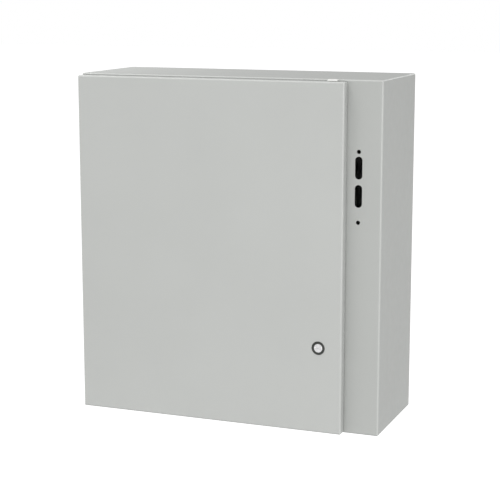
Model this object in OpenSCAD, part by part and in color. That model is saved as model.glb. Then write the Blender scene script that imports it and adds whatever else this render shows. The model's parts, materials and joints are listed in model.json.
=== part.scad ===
// Wall-mounted automatic transfer switch in a flange-disconnect enclosure.
// Millimetres. +X is to the right, +Y goes into the wall and +Z is up. The origin is the centre of
// the wall hole pattern, on the back face.

/* [Enclosure] */
// Width of the body, over the flange
body_w = 695.5; // [660:0.5:760]
// Height of the body
body_h = 762; // [740:1:900]
// Depth of the body, from the wall to its front face
body_d = 254; // [245:1:320]
// Thickness of the sheet steel
sheet = 2; // [1.5:0.1:2.5]
// Outside radius of the folded edges
fold_r = 4; // [3:0.5:6]
// Width of the fixed flange beside the door
flange_w = 77.1; // [70:0.1:90]
// Spacing of the wall holes, across
wall_hole_x = 584.2; // [560:0.1:590]
// Spacing of the wall holes, up
wall_hole_z = 711.2; // [700:0.1:715]
// Diameter of the wall holes
wall_hole_d = 11.1; // [8:0.1:13]

/* [Door] */
// How far the door's face stands in front of the body
door_proud = 22.3; // [20:0.1:26]
// Gap between the door and the top of the body
door_gap_top = 4.2; // [3:0.1:8]
// Gap between the door and the bottom of the body
door_gap_bottom = 1; // [0.5:0.1:4]
// Gap between the door's returns and the body's front face
door_gap_back = 3; // [2:0.1:3.5]
// Distance from the body's left side to the hinge pins
hinge_in = 5.5; // [5:0.1:7]
// Distance from the body's front face to the hinge pins
hinge_out = 10; // [9:0.1:11]
// Spacing of the three hinges
hinge_pitch = 270; // [200:1:300]

/* [Latch] */
// Latch centre, from the body's left side
latch_x = 566.2; // [560:0.1:568]
// Latch centre, from the bottom of the body
latch_z = 189.2; // [120:0.1:400]
// Diameter of the latch ring
latch_ring_d = 29.6; // [27:0.1:31]
// Diameter of the latch insert
latch_insert_d = 19.7; // [18:0.1:21]

/* [Operator cutout] */
// Cutout centre line, from the body's left side
cutout_x = 644.3; // [635:0.1:655]
// Height of the lower round hole, from the bottom of the body
cutout_z = 462.7; // [300:0.1:500]
// Spacing of the two round holes
cutout_hole_pitch = 149.5; // [140:0.1:160]
// Diameter of the round holes
cutout_hole_d = 9; // [6:0.1:10]
// Spacing of the two slots
cutout_slot_pitch = 59.8; // [55:0.1:70]
// Height of the slots' middle above the lower round hole
cutout_slot_up = 85.7; // [80:0.1:90]
// Length of a slot
cutout_slot_len = 48; // [40:0.5:52]
// Width of a slot
cutout_slot_w = 16; // [10:0.5:18]

/* [Transfer switch] */
// Distance between poles
pole_pitch = 76; // [76:0.5:80]
// Angle that the cross shaft turns through
swing = 40; // [36:1:42]
// Distance from the shaft to the contact tips
arm_reach = 75; // [72:0.5:78]
// Distance from the shaft to the crank pin
crank_reach = 34; // [32:0.5:36]

/* [Hidden] */
$fn = 48;

// Enclosure, in the part's own frame
left_x = -body_w / 2;
top_z = body_h / 2;
bottom_z = -body_h / 2;
front_y = -body_d;

// Door
door_w = body_w - flange_w;
door_right_x = left_x + door_w;
door_top_z = top_z - door_gap_top;
door_bottom_z = bottom_z + door_gap_bottom;
door_h = door_top_z - door_bottom_z;
door_mid_x = left_x + door_w / 2;
door_mid_z = (door_top_z + door_bottom_z) / 2;
door_front_y = front_y - door_proud;
door_skin_y = door_front_y + sheet;
door_back_y = front_y - door_gap_back;

// Opening in the body's front face, with a collar that presses into the gasket
opening_l = left_x + 37.75;
opening_r = door_right_x - 24.65;
opening_t = top_z - 27;
opening_b = bottom_z + 27;
opening_w = opening_r - opening_l;
opening_h = opening_t - opening_b;
opening_x = (opening_l + opening_r) / 2;
collar_r = 10;
collar_out = 12;
gasket_w = 12;

// Hinges
pivot_x = left_x + hinge_in;
pivot_y = front_y - hinge_out;
knuckle_r = 4.7;
hinge_pin_r = 2.5;
hinge_fit = 0.05;
knuckle_h = 20;
hinge_h = 3 * knuckle_h;
hinge_zs = [-hinge_pitch, 0, hinge_pitch];

// Latch
latch_cx = left_x + latch_x;
latch_cz = bottom_z + latch_z;
latch_ring_t = 1.6;
latch_thread_r = 11;
cam_t = 3;
cam_len = 45;
cam_front_y = front_y + sheet + 0.5;

// Operator cutout
cutout_cx = left_x + cutout_x;
cutout_low_z = bottom_z + cutout_z;
cutout_slot_z = cutout_low_z + cutout_slot_up;

// Guide above the door, near its free corner
guide_x = door_right_x - 30;

// Sub-panel on the collar studs
panel_w = 533.4;
panel_h = 685.8;
panel_t = 2.7;
panel_x = opening_x;
panel_edge = 12.7;
stud_collar_h = 17.3;
stud_dx = 241.3;
stud_dz = 317.5;
stud_r = 4.75;
panel_y = -(sheet + stud_collar_h + panel_t);

// Lug: half width, depth and half height, with its wire hole and set screw
lug_half_w = 12;
lug_d = 24;
lug_half_h = 14;
wire_hole_r = 6.5;
set_screw_r = 4.5;
strap_t = 6;

// Transfer switch: its frame has x = 0 at the middle pole and z = 0 at the shaft
switch_x = panel_x + 20;
switch_z = -110;
base_t = 22;
base_y = panel_y - base_t;
shaft_y = panel_y - 63;
shaft_r = 8;
shaft_fit = 0.05;
bush_r = 11;
bar_r = 18;
pole_xs = [-pole_pitch, 0, pole_pitch];
pole_w = pole_pitch - 2;
pole_wall = 3;
side_frame_xs = [-1.5 * pole_pitch - 5, 1.5 * pole_pitch + 5];
side_frame_t = 6;
base_l = -210;
base_r = 170;
base_half_h = 165;
arm_w = 14;
arm_t = 8;
tip_t = 3;
tip_gap = 0.3;
braid_r = 24;
braid_t = 4;
ear_drop = 7.2;
housing_half_h = 66;
housing_out = 120;

// Drive
crank_x = -163;
yoke_w = 30;
armature_r = 9;
armature_y = shaft_y - crank_reach + 1;
coil_r = 30;
coil_in = 45;
coil_out = 125;
crank_pin_r = 4;
cam_r = 14;
cam_offset = 3;
cam_xs = [-135, -127];
plunger_r = 1.5;
crank_l = crank_x + yoke_w / 2 + 2;
crank_t = 6;
plunger_gap = 0.5;
plunger_travel = 2 * cam_offset * sin(swing / 2);

// Controls
ctrl_w = 210;
ctrl_h = 150;
ctrl_d = 60;
ctrl_x = panel_x - 140;
ctrl_z = 225;
ctrl_face_y = panel_y - ctrl_d;
window_low = [-85, 8];
window_high = [35, 62];
button_r = 8;
button_x = -60;
button_dx = 30;
button_z = -35;
knob_x = 65;
knob_stem_r = 6;
lamp_x = 70;
lamp_z = 56;
lamp_pitch = 15;
lamp_r = 3;
rail_x = panel_x + 130;
rail_z = 265;
rail_w = 230;
rail_t = 7.5;
fuse_xs = [rail_x - 95, rail_x - 76];
fuse_pivot_y = panel_y - 50;
fuse_pivot_z = rail_z - 22;
fuse_pin_r = 2;
term_pitch = 6.25;
term_x = panel_x + 150;
duct_z = 100;
duct_h = 40;
duct_slot_pitch = 12.5;
wire_r = 1.6;

// Box between two opposite corners
module box_between(low, high) {
    translate(low) cube(high - low);
}

// Cylinder along X from x0 to x1
module rod_x(r, x0, x1) {
    translate([x0, 0, 0]) rotate([0, 90, 0]) cylinder(r = r, h = x1 - x0);
}

// Cylinder along Y from y0 to y1
module rod_y(r, y0, y1) {
    translate([0, y1, 0]) rotate([90, 0, 0]) cylinder(r = r, h = y1 - y0);
}

// Cylinder along Z from z0 to z1
module rod_z(r, z0, z1) {
    translate([0, 0, z0]) cylinder(r = r, h = z1 - z0);
}

// Hexagonal nut or head along Y
module hex_y(across, y0, y1) {
    translate([0, y1, 0]) rotate([90, 0, 0]) cylinder(r = across / sqrt(3), h = y1 - y0, $fn = 6);
}

// Rectangle with round corners
module round_rect(w, h, r) {
    square([w - 2 * r, h], center = true);
    square([w, h - 2 * r], center = true);
    for (sx = [-1, 1], sy = [-1, 1])
        translate([sx * (w / 2 - r), sy * (h / 2 - r)]) circle(r);
}

// Outline in X and Z, given a thickness from y0 to y1
module plate_y(y0, y1) {
    translate([0, y1, 0]) rotate([90, 0, 0]) linear_extrude(y1 - y0) children();
}

// Outline in Y and Z, given a thickness w, centred in X
module plate_x(w) {
    rotate([90, 0, 90]) linear_extrude(w, center = true) children();
}

// Folded sheet box from y = 0 to y = -d with every edge rounded
module folded_box(w, d, h, r) {
    intersection() {
        plate_y(-d, 0) round_rect(w, h, r);
        translate([0, -d / 2, 0]) plate_x(w) round_rect(d, h, r);
        translate([0, -d / 2, -h / 2]) linear_extrude(h) round_rect(w, d, r);
    }
}

// Loop round the door opening, wide and deep as given, centred on the collar
module opening_loop(grow_out, grow_in, y0, y1) {
    translate([opening_x, 0, 0])
        difference() {
            plate_y(y0, y1)
                round_rect(opening_w + 2 * grow_out, opening_h + 2 * grow_out, collar_r + grow_out);
            plate_y(y0 - 1, y1 + 1)
                round_rect(opening_w - 2 * grow_in, opening_h - 2 * grow_in, collar_r - grow_in);
        }
}

// Vertical slot with round ends, cut through the flange
module slot_cut(z) {
    half = (cutout_slot_len - cutout_slot_w) / 2;
    translate([cutout_cx, 0, z]) {
        for (s = [-1, 1])
            translate([0, 0, s * half]) rod_y(cutout_slot_w / 2, front_y - 1, front_y + sheet + 1);
        box_between([-cutout_slot_w / 2, front_y - 1, -half],
                    [cutout_slot_w / 2, front_y + sheet + 1, half]);
    }
}

module enclosure_body() {
    color("lightgray") {
        difference() {
            folded_box(body_w, body_d, body_h, fold_r);
            translate([0, -sheet, 0])
                folded_box(body_w - 2 * sheet, body_d - 2 * sheet, body_h - 2 * sheet, fold_r - sheet);
            translate([opening_x, 0, 0])
                plate_y(front_y - 1, front_y + sheet + 1) round_rect(opening_w, opening_h, collar_r);
            for (sx = [-1, 1], sz = [-1, 1])
                translate([sx * wall_hole_x / 2, 0, sz * wall_hole_z / 2])
                    rod_y(wall_hole_d / 2, -sheet - 1, 1);
            for (dz = [0, cutout_hole_pitch])
                translate([cutout_cx, 0, cutout_low_z + dz])
                    rod_y(cutout_hole_d / 2, front_y - 1, front_y + sheet + 1);
            for (s = [-1, 1])
                slot_cut(cutout_slot_z + s * cutout_slot_pitch / 2);
        }
        opening_loop(sheet, 0, front_y - collar_out, front_y + sheet / 2);
    }
}

module panel_studs() {
    color("silver")
        for (sx = [-1, 1], sz = [-1, 1])
            translate([panel_x + sx * stud_dx, 0, sz * stud_dz]) {
                rod_y(9.5, -sheet - stud_collar_h, -sheet);
                rod_y(stud_r, panel_y - 16, -sheet - stud_collar_h);
            }
}

module sub_panel() {
    color("white")
        translate([panel_x, 0, 0])
            difference() {
                union() {
                    plate_y(panel_y, panel_y + panel_t) square([panel_w, panel_h], center = true);
                    for (s = [-1, 1])
                        translate([s * (panel_w - panel_t) / 2, panel_y + panel_edge / 2, 0])
                            cube([panel_t, panel_edge, panel_h], center = true);
                }
                for (sx = [-1, 1], sz = [-1, 1])
                    translate([sx * stud_dx, 0, sz * stud_dz])
                        rod_y(stud_r + 0.4, panel_y - 1, panel_y + panel_t + 1);
            }
}

module panel_nuts() {
    color("silver")
        for (sx = [-1, 1], sz = [-1, 1])
            translate([panel_x + sx * stud_dx, 0, sz * stud_dz])
                difference() {
                    union() {
                        rod_y(11, panel_y - 2, panel_y);
                        hex_y(14.3, panel_y - 10, panel_y - 2);
                    }
                    rod_y(stud_r, panel_y - 11, panel_y + 1);
                }
}

// Earth stud on the bottom wall, with its nut and washer
module ground_stud() {
    color("goldenrod")
        translate([opening_l + 30, -60, bottom_z + sheet]) {
            rod_z(3.2, 0, 24);
            rod_z(7, 0, 1.6);
            translate([0, 0, 1.6]) cylinder(r = 6.4, h = 5.5, $fn = 6);
        }
}

// White plastic guide on the front face, above the door
module door_guide() {
    guide_h = door_gap_top - 0.4;
    guide_w = 21.4;
    guide_out = 12;
    color("white")
        translate([guide_x, front_y - guide_out / 2, top_z - guide_h / 2])
            difference() {
                cube([guide_w, guide_out, guide_h], center = true);
                translate([0, -guide_out / 2, guide_h / 2 + 1]) rotate([45, 0, 0])
                    cube([guide_w + 2, 3, 3], center = true);
            }
}

// Fixed leaves: outer knuckles, a bracket back to the body and a foot on its front face
module hinge_body_leaves() {
    color("dimgray")
        for (z = hinge_zs)
            translate([pivot_x, pivot_y, z])
                difference() {
                    union() {
                        for (s = [-1, 1])
                            rod_z(knuckle_r, s * knuckle_h - knuckle_h / 2, s * knuckle_h + knuckle_h / 2);
                        box_between([-1.5, 0, -hinge_h / 2], [1.5, hinge_out, hinge_h / 2]);
                        box_between([-1.5, hinge_out - 2, -hinge_h / 2], [22, hinge_out, hinge_h / 2]);
                    }
                    rod_z(hinge_pin_r, -hinge_h, hinge_h);
                    rod_z(knuckle_r + 0.5, -knuckle_h / 2 - 0.3, knuckle_h / 2 + 0.3);
                }
}

module hinge_pins() {
    color("silver")
        for (z = hinge_zs)
            translate([pivot_x, pivot_y, z]) {
                rod_z(hinge_pin_r, -hinge_h / 2, hinge_h / 2);
                rod_z(4, hinge_h / 2, hinge_h / 2 + 2);
            }
}

// Moving leaves: the middle knuckle and a plate on the inside of the door
module hinge_door_leaves() {
    skin = door_skin_y - pivot_y;
    color("dimgray")
        for (z = hinge_zs)
            translate([pivot_x, pivot_y, z])
                difference() {
                    union() {
                        rod_z(knuckle_r, -knuckle_h / 2, knuckle_h / 2);
                        box_between([0, skin, -knuckle_h / 2], [3, 0, knuckle_h / 2]);
                        box_between([0, skin, -knuckle_h / 2], [22, skin + 2.5, knuckle_h / 2]);
                        box_between([6, skin, -hinge_h / 2], [22, skin + 2.5, hinge_h / 2]);
                    }
                    rod_z(hinge_pin_r + hinge_fit, -hinge_h, hinge_h);
                }
}

// Pan door with folded returns, notched round the hinges
module door_panel() {
    depth = door_back_y - door_front_y;
    color("lightgray")
        difference() {
            translate([door_mid_x, door_back_y, door_mid_z])
                intersection() {
                    translate([0, depth, 0]) folded_box(door_w, 2 * depth, door_h, fold_r);
                    plate_y(-2 * depth, 0) square([door_w + 2, door_h + 2], center = true);
                }
            translate([door_mid_x, door_back_y + sheet, door_mid_z])
                translate([0, depth, 0])
                    folded_box(door_w - 2 * sheet, 2 * depth, door_h - 2 * sheet, fold_r - sheet);
            for (z = hinge_zs)
                box_between([left_x - 1, pivot_y - 6, z - hinge_h / 2 - 4],
                            [left_x + sheet + 1, door_back_y + 1, z + hinge_h / 2 + 4]);
            translate([latch_cx, 0, latch_cz]) rod_y(latch_thread_r + 0.25, door_front_y - 1, door_skin_y + 1);
        }
}

module door_gasket() {
    color("black")
        opening_loop(sheet / 2 + gasket_w / 2, gasket_w / 2 - sheet / 2,
                     door_skin_y, front_y - collar_out - 0.3);
}

// Two hat-section stiffeners welded inside the door
module door_stiffeners() {
    color("lightgray")
        for (x = [door_mid_x - 170, door_mid_x + 170])
            translate([x, door_skin_y, 0])
                difference() {
                    union() {
                        box_between([-25, 0, -300], [25, 1.5, 300]);
                        box_between([-12, 0, -300], [12, 12, 300]);
                    }
                    box_between([-10.5, -1, -301], [10.5, 10.5, 301]);
                }
}

module document_pocket() {
    color("gray")
        translate([door_mid_x, door_skin_y, -80])
            difference() {
                box_between([-140, 0, -110], [140, 22, 110]);
                box_between([-137, 2, -107], [137, 19.5, 111]);
                box_between([-60, 18, 70], [60, 23, 111]);
            }
}

module door_bond_stud() {
    color("goldenrod")
        translate([opening_l + 40, 0, bottom_z + 60]) {
            rod_y(3.2, door_skin_y, door_skin_y + 14);
            hex_y(11, door_skin_y, door_skin_y + 5);
        }
}

// Latch housing: a domed ring in front of the door and a bored barrel through it
module latch_housing() {
    ring_r = latch_ring_d / 2;
    color("dimgray")
        translate([latch_cx, 0, latch_cz])
            difference() {
                union() {
                    translate([0, door_front_y, 0]) rotate([90, 0, 0])
                        cylinder(r1 = ring_r, r2 = ring_r - 1, h = latch_ring_t);
                    rod_y(latch_thread_r, door_front_y, cam_front_y - 1);
                }
                rod_y(latch_insert_d / 2 + 0.05, door_front_y - latch_ring_t - 1, door_front_y + 5);
                rod_y(5.05, door_front_y, cam_front_y);
            }
}

module latch_nut() {
    color("silver")
        translate([latch_cx, 0, latch_cz])
            difference() {
                hex_y(27, door_skin_y, door_skin_y + 6);
                rod_y(latch_thread_r, door_skin_y - 1, door_skin_y + 7);
            }
}

// Latch spindle: a slotted head and a shaft that carries the cam
module latch_spindle() {
    head_y = door_front_y - latch_ring_t + 0.4;
    color("silver")
        translate([latch_cx, 0, latch_cz])
            difference() {
                union() {
                    rod_y(latch_insert_d / 2, head_y, door_front_y + 4.9);
                    rod_y(5, door_front_y + 4, cam_front_y);
                    box_between([-3.5, cam_front_y, -3.5], [3.5, cam_front_y + cam_t, 3.5]);
                }
                box_between([-6.5, head_y - 1, -1.2], [6.5, head_y + 3, 1.2]);
            }
}

// Latch cam, hanging straight down when the latch is open
module latch_cam() {
    color("silver")
        translate([latch_cx, 0, latch_cz])
            difference() {
                union() {
                    rod_y(9, cam_front_y, cam_front_y + cam_t);
                    box_between([-8, cam_front_y, -cam_len], [8, cam_front_y + cam_t, 0]);
                }
                box_between([-3.5, cam_front_y - 1, -3.5], [3.5, cam_front_y + cam_t + 1, 3.5]);
            }
}

module latch_cam_screw() {
    color("silver")
        translate([latch_cx, 0, latch_cz]) {
            rod_y(7, cam_front_y + cam_t, cam_front_y + cam_t + 1.2);
            hex_y(8, cam_front_y + cam_t + 1.2, cam_front_y + cam_t + 4.5);
        }
}

// Places what follows in the transfer switch's own frame
module at_switch() {
    translate([switch_x, 0, switch_z]) children();
}

// Places what follows on the shaft's axis, turned to its rest position
module on_shaft() {
    translate([0, shaft_y, 0]) rotate([-swing / 2, 0, 0]) children();
}

module switch_base() {
    color("#3a2a22")
        at_switch()
            difference() {
                box_between([base_l, base_y, -base_half_h], [base_r, panel_y, base_half_h]);
                for (x = [base_l + 14, base_r - 14], s = [-1, 1])
                    translate([x, 0, s * (base_half_h - 14)]) {
                        rod_y(3.4, base_y - 1, panel_y + 1);
                        rod_y(8, base_y - 1, base_y + 8);
                    }
            }
}

// Two plates that carry the shaft's bushes
module side_frames() {
    color("gainsboro")
        at_switch()
            for (x = side_frame_xs)
                difference() {
                    union() {
                        box_between([x - side_frame_t / 2, shaft_y, -45], [x + side_frame_t / 2, base_y, 45]);
                        translate([0, shaft_y, 0]) rod_x(24, x - side_frame_t / 2, x + side_frame_t / 2);
                    }
                    translate([0, shaft_y, 0]) rod_x(bush_r, x - side_frame_t, x + side_frame_t);
                }
}

module shaft_bushes() {
    color("goldenrod")
        at_switch()
            for (x = side_frame_xs)
                translate([0, shaft_y, 0])
                    difference() {
                        rod_x(bush_r, x - side_frame_t / 2, x + side_frame_t / 2);
                        rod_x(shaft_r + shaft_fit, x - side_frame_t, x + side_frame_t);
                    }
}

// Moulded walls round each pole, tied at the front, bored for the crossbar and open above and below
module pole_housings() {
    front = shaft_y - housing_out + 14;
    color("#2b2b2e")
        at_switch()
            for (x = pole_xs)
                translate([x, 0, 0])
                    difference() {
                        box_between([-pole_w / 2, front, -housing_half_h], [pole_w / 2, base_y, housing_half_h]);
                        box_between([-pole_w / 2 + pole_wall, front + 10, -housing_half_h - 1],
                                    [pole_w / 2 - pole_wall, base_y + 1, housing_half_h + 1]);
                        box_between([-pole_w / 2 + pole_wall, front - 1, -housing_half_h + 12],
                                    [pole_w / 2 - pole_wall, front + 11, housing_half_h - 12]);
                        translate([0, shaft_y, 0]) rod_x(bar_r + 1, -pole_w, pole_w);
                    }
}

// Vented covers over the arc chutes, with splitter ribs inside
module arc_covers() {
    back = shaft_y - housing_out + 14;
    color("#1f1f22")
        at_switch()
            for (x = pole_xs)
                translate([x, 0, 0])
                    difference() {
                        union() {
                            box_between([-pole_w / 2, back - 14, -housing_half_h], [pole_w / 2, back, housing_half_h]);
                            for (s = [-1, 1], i = [0 : 4])
                                translate([0, back + 4, s * (12 + 9 * i)])
                                    cube([pole_w - 2 * pole_wall - 1, 8, 1.6], center = true);
                        }
                        for (s = [-1, 1], i = [0 : 3])
                            translate([0, back - 7, s * (21 + 11 * i)])
                                cube([pole_w - 22, 20, 4], center = true);
                    }
}

// Contact nose, forward bar and strap along the base, drawn for the upper set in -Y and Z
module fixed_contact(w, strap_end) {
    tip_y = shaft_y - arm_reach * cos(swing / 2);
    tip_z = arm_reach * sin(swing / 2);
    off = arm_t / 2 + tip_t + tip_gap;
    face_y = tip_y + off * sin(swing / 2);
    face_z = tip_z + off * cos(swing / 2);
    half = 8;
    low = [face_y + half * cos(swing / 2), face_z - half * sin(swing / 2)];
    high = [face_y - half * cos(swing / 2), face_z + half * sin(swing / 2)];
    plate_x(w)
        polygon([low, [low[0], 46], [base_y - strap_t, 46], [base_y - strap_t, 40], [base_y, 40],
                 [base_y, strap_end], [base_y - strap_t, strap_end], [base_y - strap_t, 54],
                 [high[0], 54], high]);
}

module normal_contacts() {
    color("#b87333")
        at_switch()
            for (x = pole_xs)
                translate([x, 0, 0]) fixed_contact(arm_w, 155);
}

// The lower contacts step sideways on the base, to leave room for the load straps
module emergency_contacts() {
    color("#b87333")
        at_switch()
            for (x = pole_xs)
                translate([x, 0, 0]) {
                    mirror([0, 0, 1]) fixed_contact(arm_w, 70);
                    box_between([-23, base_y - strap_t, -155], [-9, base_y, -60]);
                    box_between([-16, base_y - strap_t, -70], [arm_w / 2, base_y, -56]);
                }
}

module load_terminals() {
    color("#b87333")
        at_switch()
            for (x = pole_xs)
                translate([x, 0, 0]) {
                    box_between([10, base_y - strap_t, -155], [24, base_y, 8]);
                    box_between([10, shaft_y + braid_r + braid_t / 2, -8], [24, base_y, 0]);
                }
}

// One lug on the front of a strap, with a wire hole up and down and a set screw in front
module lug(x, z) {
    translate([x, base_y - strap_t, z])
        difference() {
            box_between([-lug_half_w, -lug_d, -lug_half_h], [lug_half_w, 0, lug_half_h]);
            translate([0, -10, 0]) rod_z(wire_hole_r, -lug_half_h - 1, lug_half_h + 1);
            rod_y(set_screw_r, -lug_d - 1, -10);
        }
}

// Places of the nine lugs: normal above, emergency and load below
lug_places = [for (x = pole_xs) each [[x, 140], [x - 16, -140], [x + 17, -140]]];

module terminal_lugs() {
    color("silver")
        at_switch()
            for (p = lug_places)
                lug(p[0], p[1]);
}

module lug_screws() {
    color("darkgray")
        at_switch()
            for (p = lug_places)
                translate([p[0], base_y - strap_t, p[1]])
                    difference() {
                        rod_y(set_screw_r, -lug_d - 2, -17);
                        hex_y(5, -lug_d - 3, -22);
                    }
}

// Braids from the load straps round the crossbar to the contact arms
module flex_braids() {
    color("#a86b3c")
        at_switch()
            for (x = pole_xs)
                translate([x + 17, shaft_y, 0])
                    rotate([0, 90, 0])
                        difference() {
                            cylinder(r = braid_r + braid_t / 2, h = 12, center = true);
                            cylinder(r = braid_r - braid_t / 2, h = 14, center = true);
                            translate([-40, -40, -10]) cube([40, 80, 20]);
                        }
}

module cross_shaft() {
    color("silver")
        at_switch() translate([0, shaft_y, 0]) rod_x(shaft_r, crank_x - 22, base_r - 6);
}

// Moulded bar on the shaft, slotted for the three contact arms
module crossbar() {
    half = side_frame_xs[1] - side_frame_t / 2 - 1;
    color("#7a1f1a")
        at_switch()
            on_shaft()
                difference() {
                    rod_x(bar_r, -half, half);
                    rod_x(shaft_r, -half - 1, half + 1);
                    for (x = pole_xs)
                        box_between([x - arm_w / 2, -bar_r - 1, -arm_t / 2], [x + arm_w / 2, -shaft_r - 3, arm_t / 2]);
                }
}

// Contact arms with a pad above and below the tip and an ear for the braid
module moving_contacts() {
    color("#c07a3e")
        at_switch()
            on_shaft()
                for (x = pole_xs) {
                    box_between([x - arm_w / 2, -arm_reach - 8, -arm_t / 2], [x + arm_w / 2, -shaft_r - 3, arm_t / 2]);
                    box_between([x - arm_w / 2, -arm_reach - 7, -arm_t / 2 - tip_t],
                                [x + arm_w / 2, -arm_reach + 7, arm_t / 2 + tip_t]);
                    box_between([x, -braid_r - 6, -ear_drop], [x + 23, -braid_r + 3.5, arm_t / 2]);
                }
}

module drive_crank() {
    color("silver")
        at_switch()
            on_shaft()
                difference() {
                    union() {
                        rod_x(16, crank_l, crank_l + crank_t);
                        box_between([crank_l, -crank_reach, -8], [crank_l + crank_t, 0, 8]);
                        translate([0, -crank_reach, 0]) rod_x(8, crank_l, crank_l + crank_t);
                        translate([0, -crank_reach, 0]) rod_x(crank_pin_r, crank_x - yoke_w / 2, crank_l + 1);
                    }
                    rod_x(shaft_r, crank_l - 1, crank_l + crank_t + 1);
                }
}

// Hand lever on the right end of the shaft
module manual_handle() {
    color("red")
        at_switch()
            translate([base_r - 14, 0, 0])
                on_shaft()
                    difference() {
                        union() {
                            rod_x(16, -8, 8);
                            box_between([-5, -105, -7], [5, -4, 7]);
                            rod_y(11, -150, -95);
                            translate([0, -150, 0]) sphere(r = 11);
                        }
                        rod_x(shaft_r, -9, 9);
                    }
}

module position_drum() {
    color("yellow")
        at_switch()
            on_shaft()
                difference() {
                    rod_x(28, base_r - 46, base_r - 30);
                    rod_x(shaft_r, base_r - 50, base_r - 20);
                    box_between([base_r - 50, 2, -30], [base_r - 20, 30, 30]);
                }
}

// Round cams set off centre, to either side of the shaft
module aux_cams() {
    color("ivory")
        at_switch()
            on_shaft()
                for (i = [0, 1])
                    difference() {
                        translate([0, i == 0 ? -cam_offset : cam_offset, 0])
                            rod_x(cam_r, cam_xs[i] - 3, cam_xs[i] + 3);
                        rod_x(shaft_r, cam_xs[i] - 4, cam_xs[i] + 4);
                    }
}

// Height of a plunger's end above the shaft when its cam is down
plunger_low = sqrt(pow(cam_r, 2) - pow(cam_offset, 2)) - cam_offset * sin(swing / 2) + plunger_gap;
aux_body_z = plunger_low + plunger_travel + 6;

module aux_switches() {
    color("#303030")
        at_switch()
            for (x = cam_xs)
                translate([x, shaft_y, 0])
                    difference() {
                        box_between([-3.8, -14, aux_body_z], [3.8, 14, aux_body_z + 18]);
                        rod_z(plunger_r + 0.1, aux_body_z - 1, aux_body_z + 10);
                    }
}

// Plunger of an auxiliary switch, with its end z0 above the shaft
module aux_plunger(x, z0) {
    color("white")
        at_switch() translate([x, shaft_y, 0]) rod_z(plunger_r, z0, aux_body_z + 6.5 + z0 - plunger_low - plunger_travel);
}

module aux_plunger_normal() {
    aux_plunger(cam_xs[0], plunger_low + plunger_travel);
}

module aux_plunger_emergency() {
    aux_plunger(cam_xs[1], plunger_low);
}

// A steel frame round each coil, stood off the base
module solenoid_frames() {
    back = armature_y + coil_r + 4;
    color("slategray")
        at_switch()
            for (s = [-1, 1])
                scale([1, 1, s])
                    translate([crank_x, 0, 0])
                        difference() {
                            union() {
                                for (z = [coil_in - 4, coil_out])
                                    box_between([-26, armature_y - 26, z], [26, back, z + 4]);
                                box_between([-26, back - 4, coil_in - 4], [26, back, coil_out + 4]);
                                for (z = [coil_in + 4, coil_out - 16])
                                    box_between([-20, back, z], [20, base_y, z + 10]);
                            }
                            translate([0, armature_y, 0]) rod_z(armature_r + 0.4, coil_in - 5, coil_out - 1);
                        }
}

module solenoid_coils() {
    color("#1d3a6e")
        at_switch()
            for (s = [-1, 1])
                scale([1, 1, s])
                    translate([crank_x, armature_y, 0])
                        difference() {
                            union() {
                                for (z = [coil_in, coil_out - 4])
                                    rod_z(coil_r - 1, z, z + 4);
                                rod_z(coil_r - 4, coil_in, coil_out);
                            }
                            rod_z(armature_r + 0.08, coil_in - 1, coil_out + 1);
                        }
}

// Steel rod in both coils, with a slotted yoke for the crank pin
module armature() {
    lift = crank_reach * sin(swing / 2);
    color("lightsteelblue")
        at_switch()
            translate([crank_x, armature_y, lift])
                difference() {
                    union() {
                        rod_z(armature_r, -100, 100);
                        box_between([-yoke_w / 2, -12, -13], [yoke_w / 2, 12, 13]);
                    }
                    box_between([-yoke_w, -6.5, -crank_pin_r - 0.25], [yoke_w, 6.5, crank_pin_r + 0.25]);
                }
}

// Places what follows on the middle of the controller's face
module at_controller() {
    translate([ctrl_x, ctrl_face_y, ctrl_z]) children();
}

module controller_housing() {
    color("#4a4d52")
        at_controller()
            difference() {
                union() {
                    plate_y(0, ctrl_d - 14) round_rect(ctrl_w, ctrl_h, 6);
                    for (sx = [-1, 1], sz = [-1, 1])
                        translate([sx * (ctrl_w / 2 - 16), 0, sz * (ctrl_h / 2 - 16)]) rod_y(6, ctrl_d - 14, ctrl_d);
                }
                plate_y(2.5, ctrl_d - 17) round_rect(ctrl_w - 5, ctrl_h - 5, 3.5);
                box_between([window_low[0], -1, window_low[1]], [window_high[0], 3, window_high[1]]);
                for (i = [0, 1])
                    translate([button_x + i * button_dx, 0, button_z]) rod_y(button_r + 0.3, -1, 3);
                translate([knob_x, 0, button_z]) rod_y(knob_stem_r + 0.06, -1, 3);
                for (i = [0 : 3])
                    translate([lamp_x, 0, lamp_z - lamp_pitch * i]) rod_y(lamp_r, -1, 3);
            }
}

module controller_window() {
    color("darkslategray")
        at_controller()
            box_between([window_low[0], 0.6, window_low[1]], [window_high[0], 2.5, window_high[1]]);
}

module status_lamps() {
    color("limegreen")
        at_controller()
            for (i = [0 : 3])
                translate([lamp_x, 0, lamp_z - lamp_pitch * i]) {
                    rod_y(lamp_r, -0.8, 5);
                    rod_y(lamp_r + 1, 2.5, 4);
                }
}

// Button i of the controller, held behind the face by its rim
module push_button(i) {
    at_controller()
        translate([button_x + i * button_dx, 0, button_z]) {
            rod_y(button_r, -3, 3);
            rod_y(button_r + 2, 3, 5);
        }
}

module test_button() {
    color("gold") push_button(0);
}

module bypass_button() {
    color("steelblue") push_button(1);
}

module selector_knob() {
    color("black")
        at_controller()
            translate([knob_x, 0, button_z]) {
                rod_y(14, -5, -0.4);
                rod_y(knob_stem_r, -5, 12);
                box_between([-4, -16, -14], [4, -5, 14]);
            }
}

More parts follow.
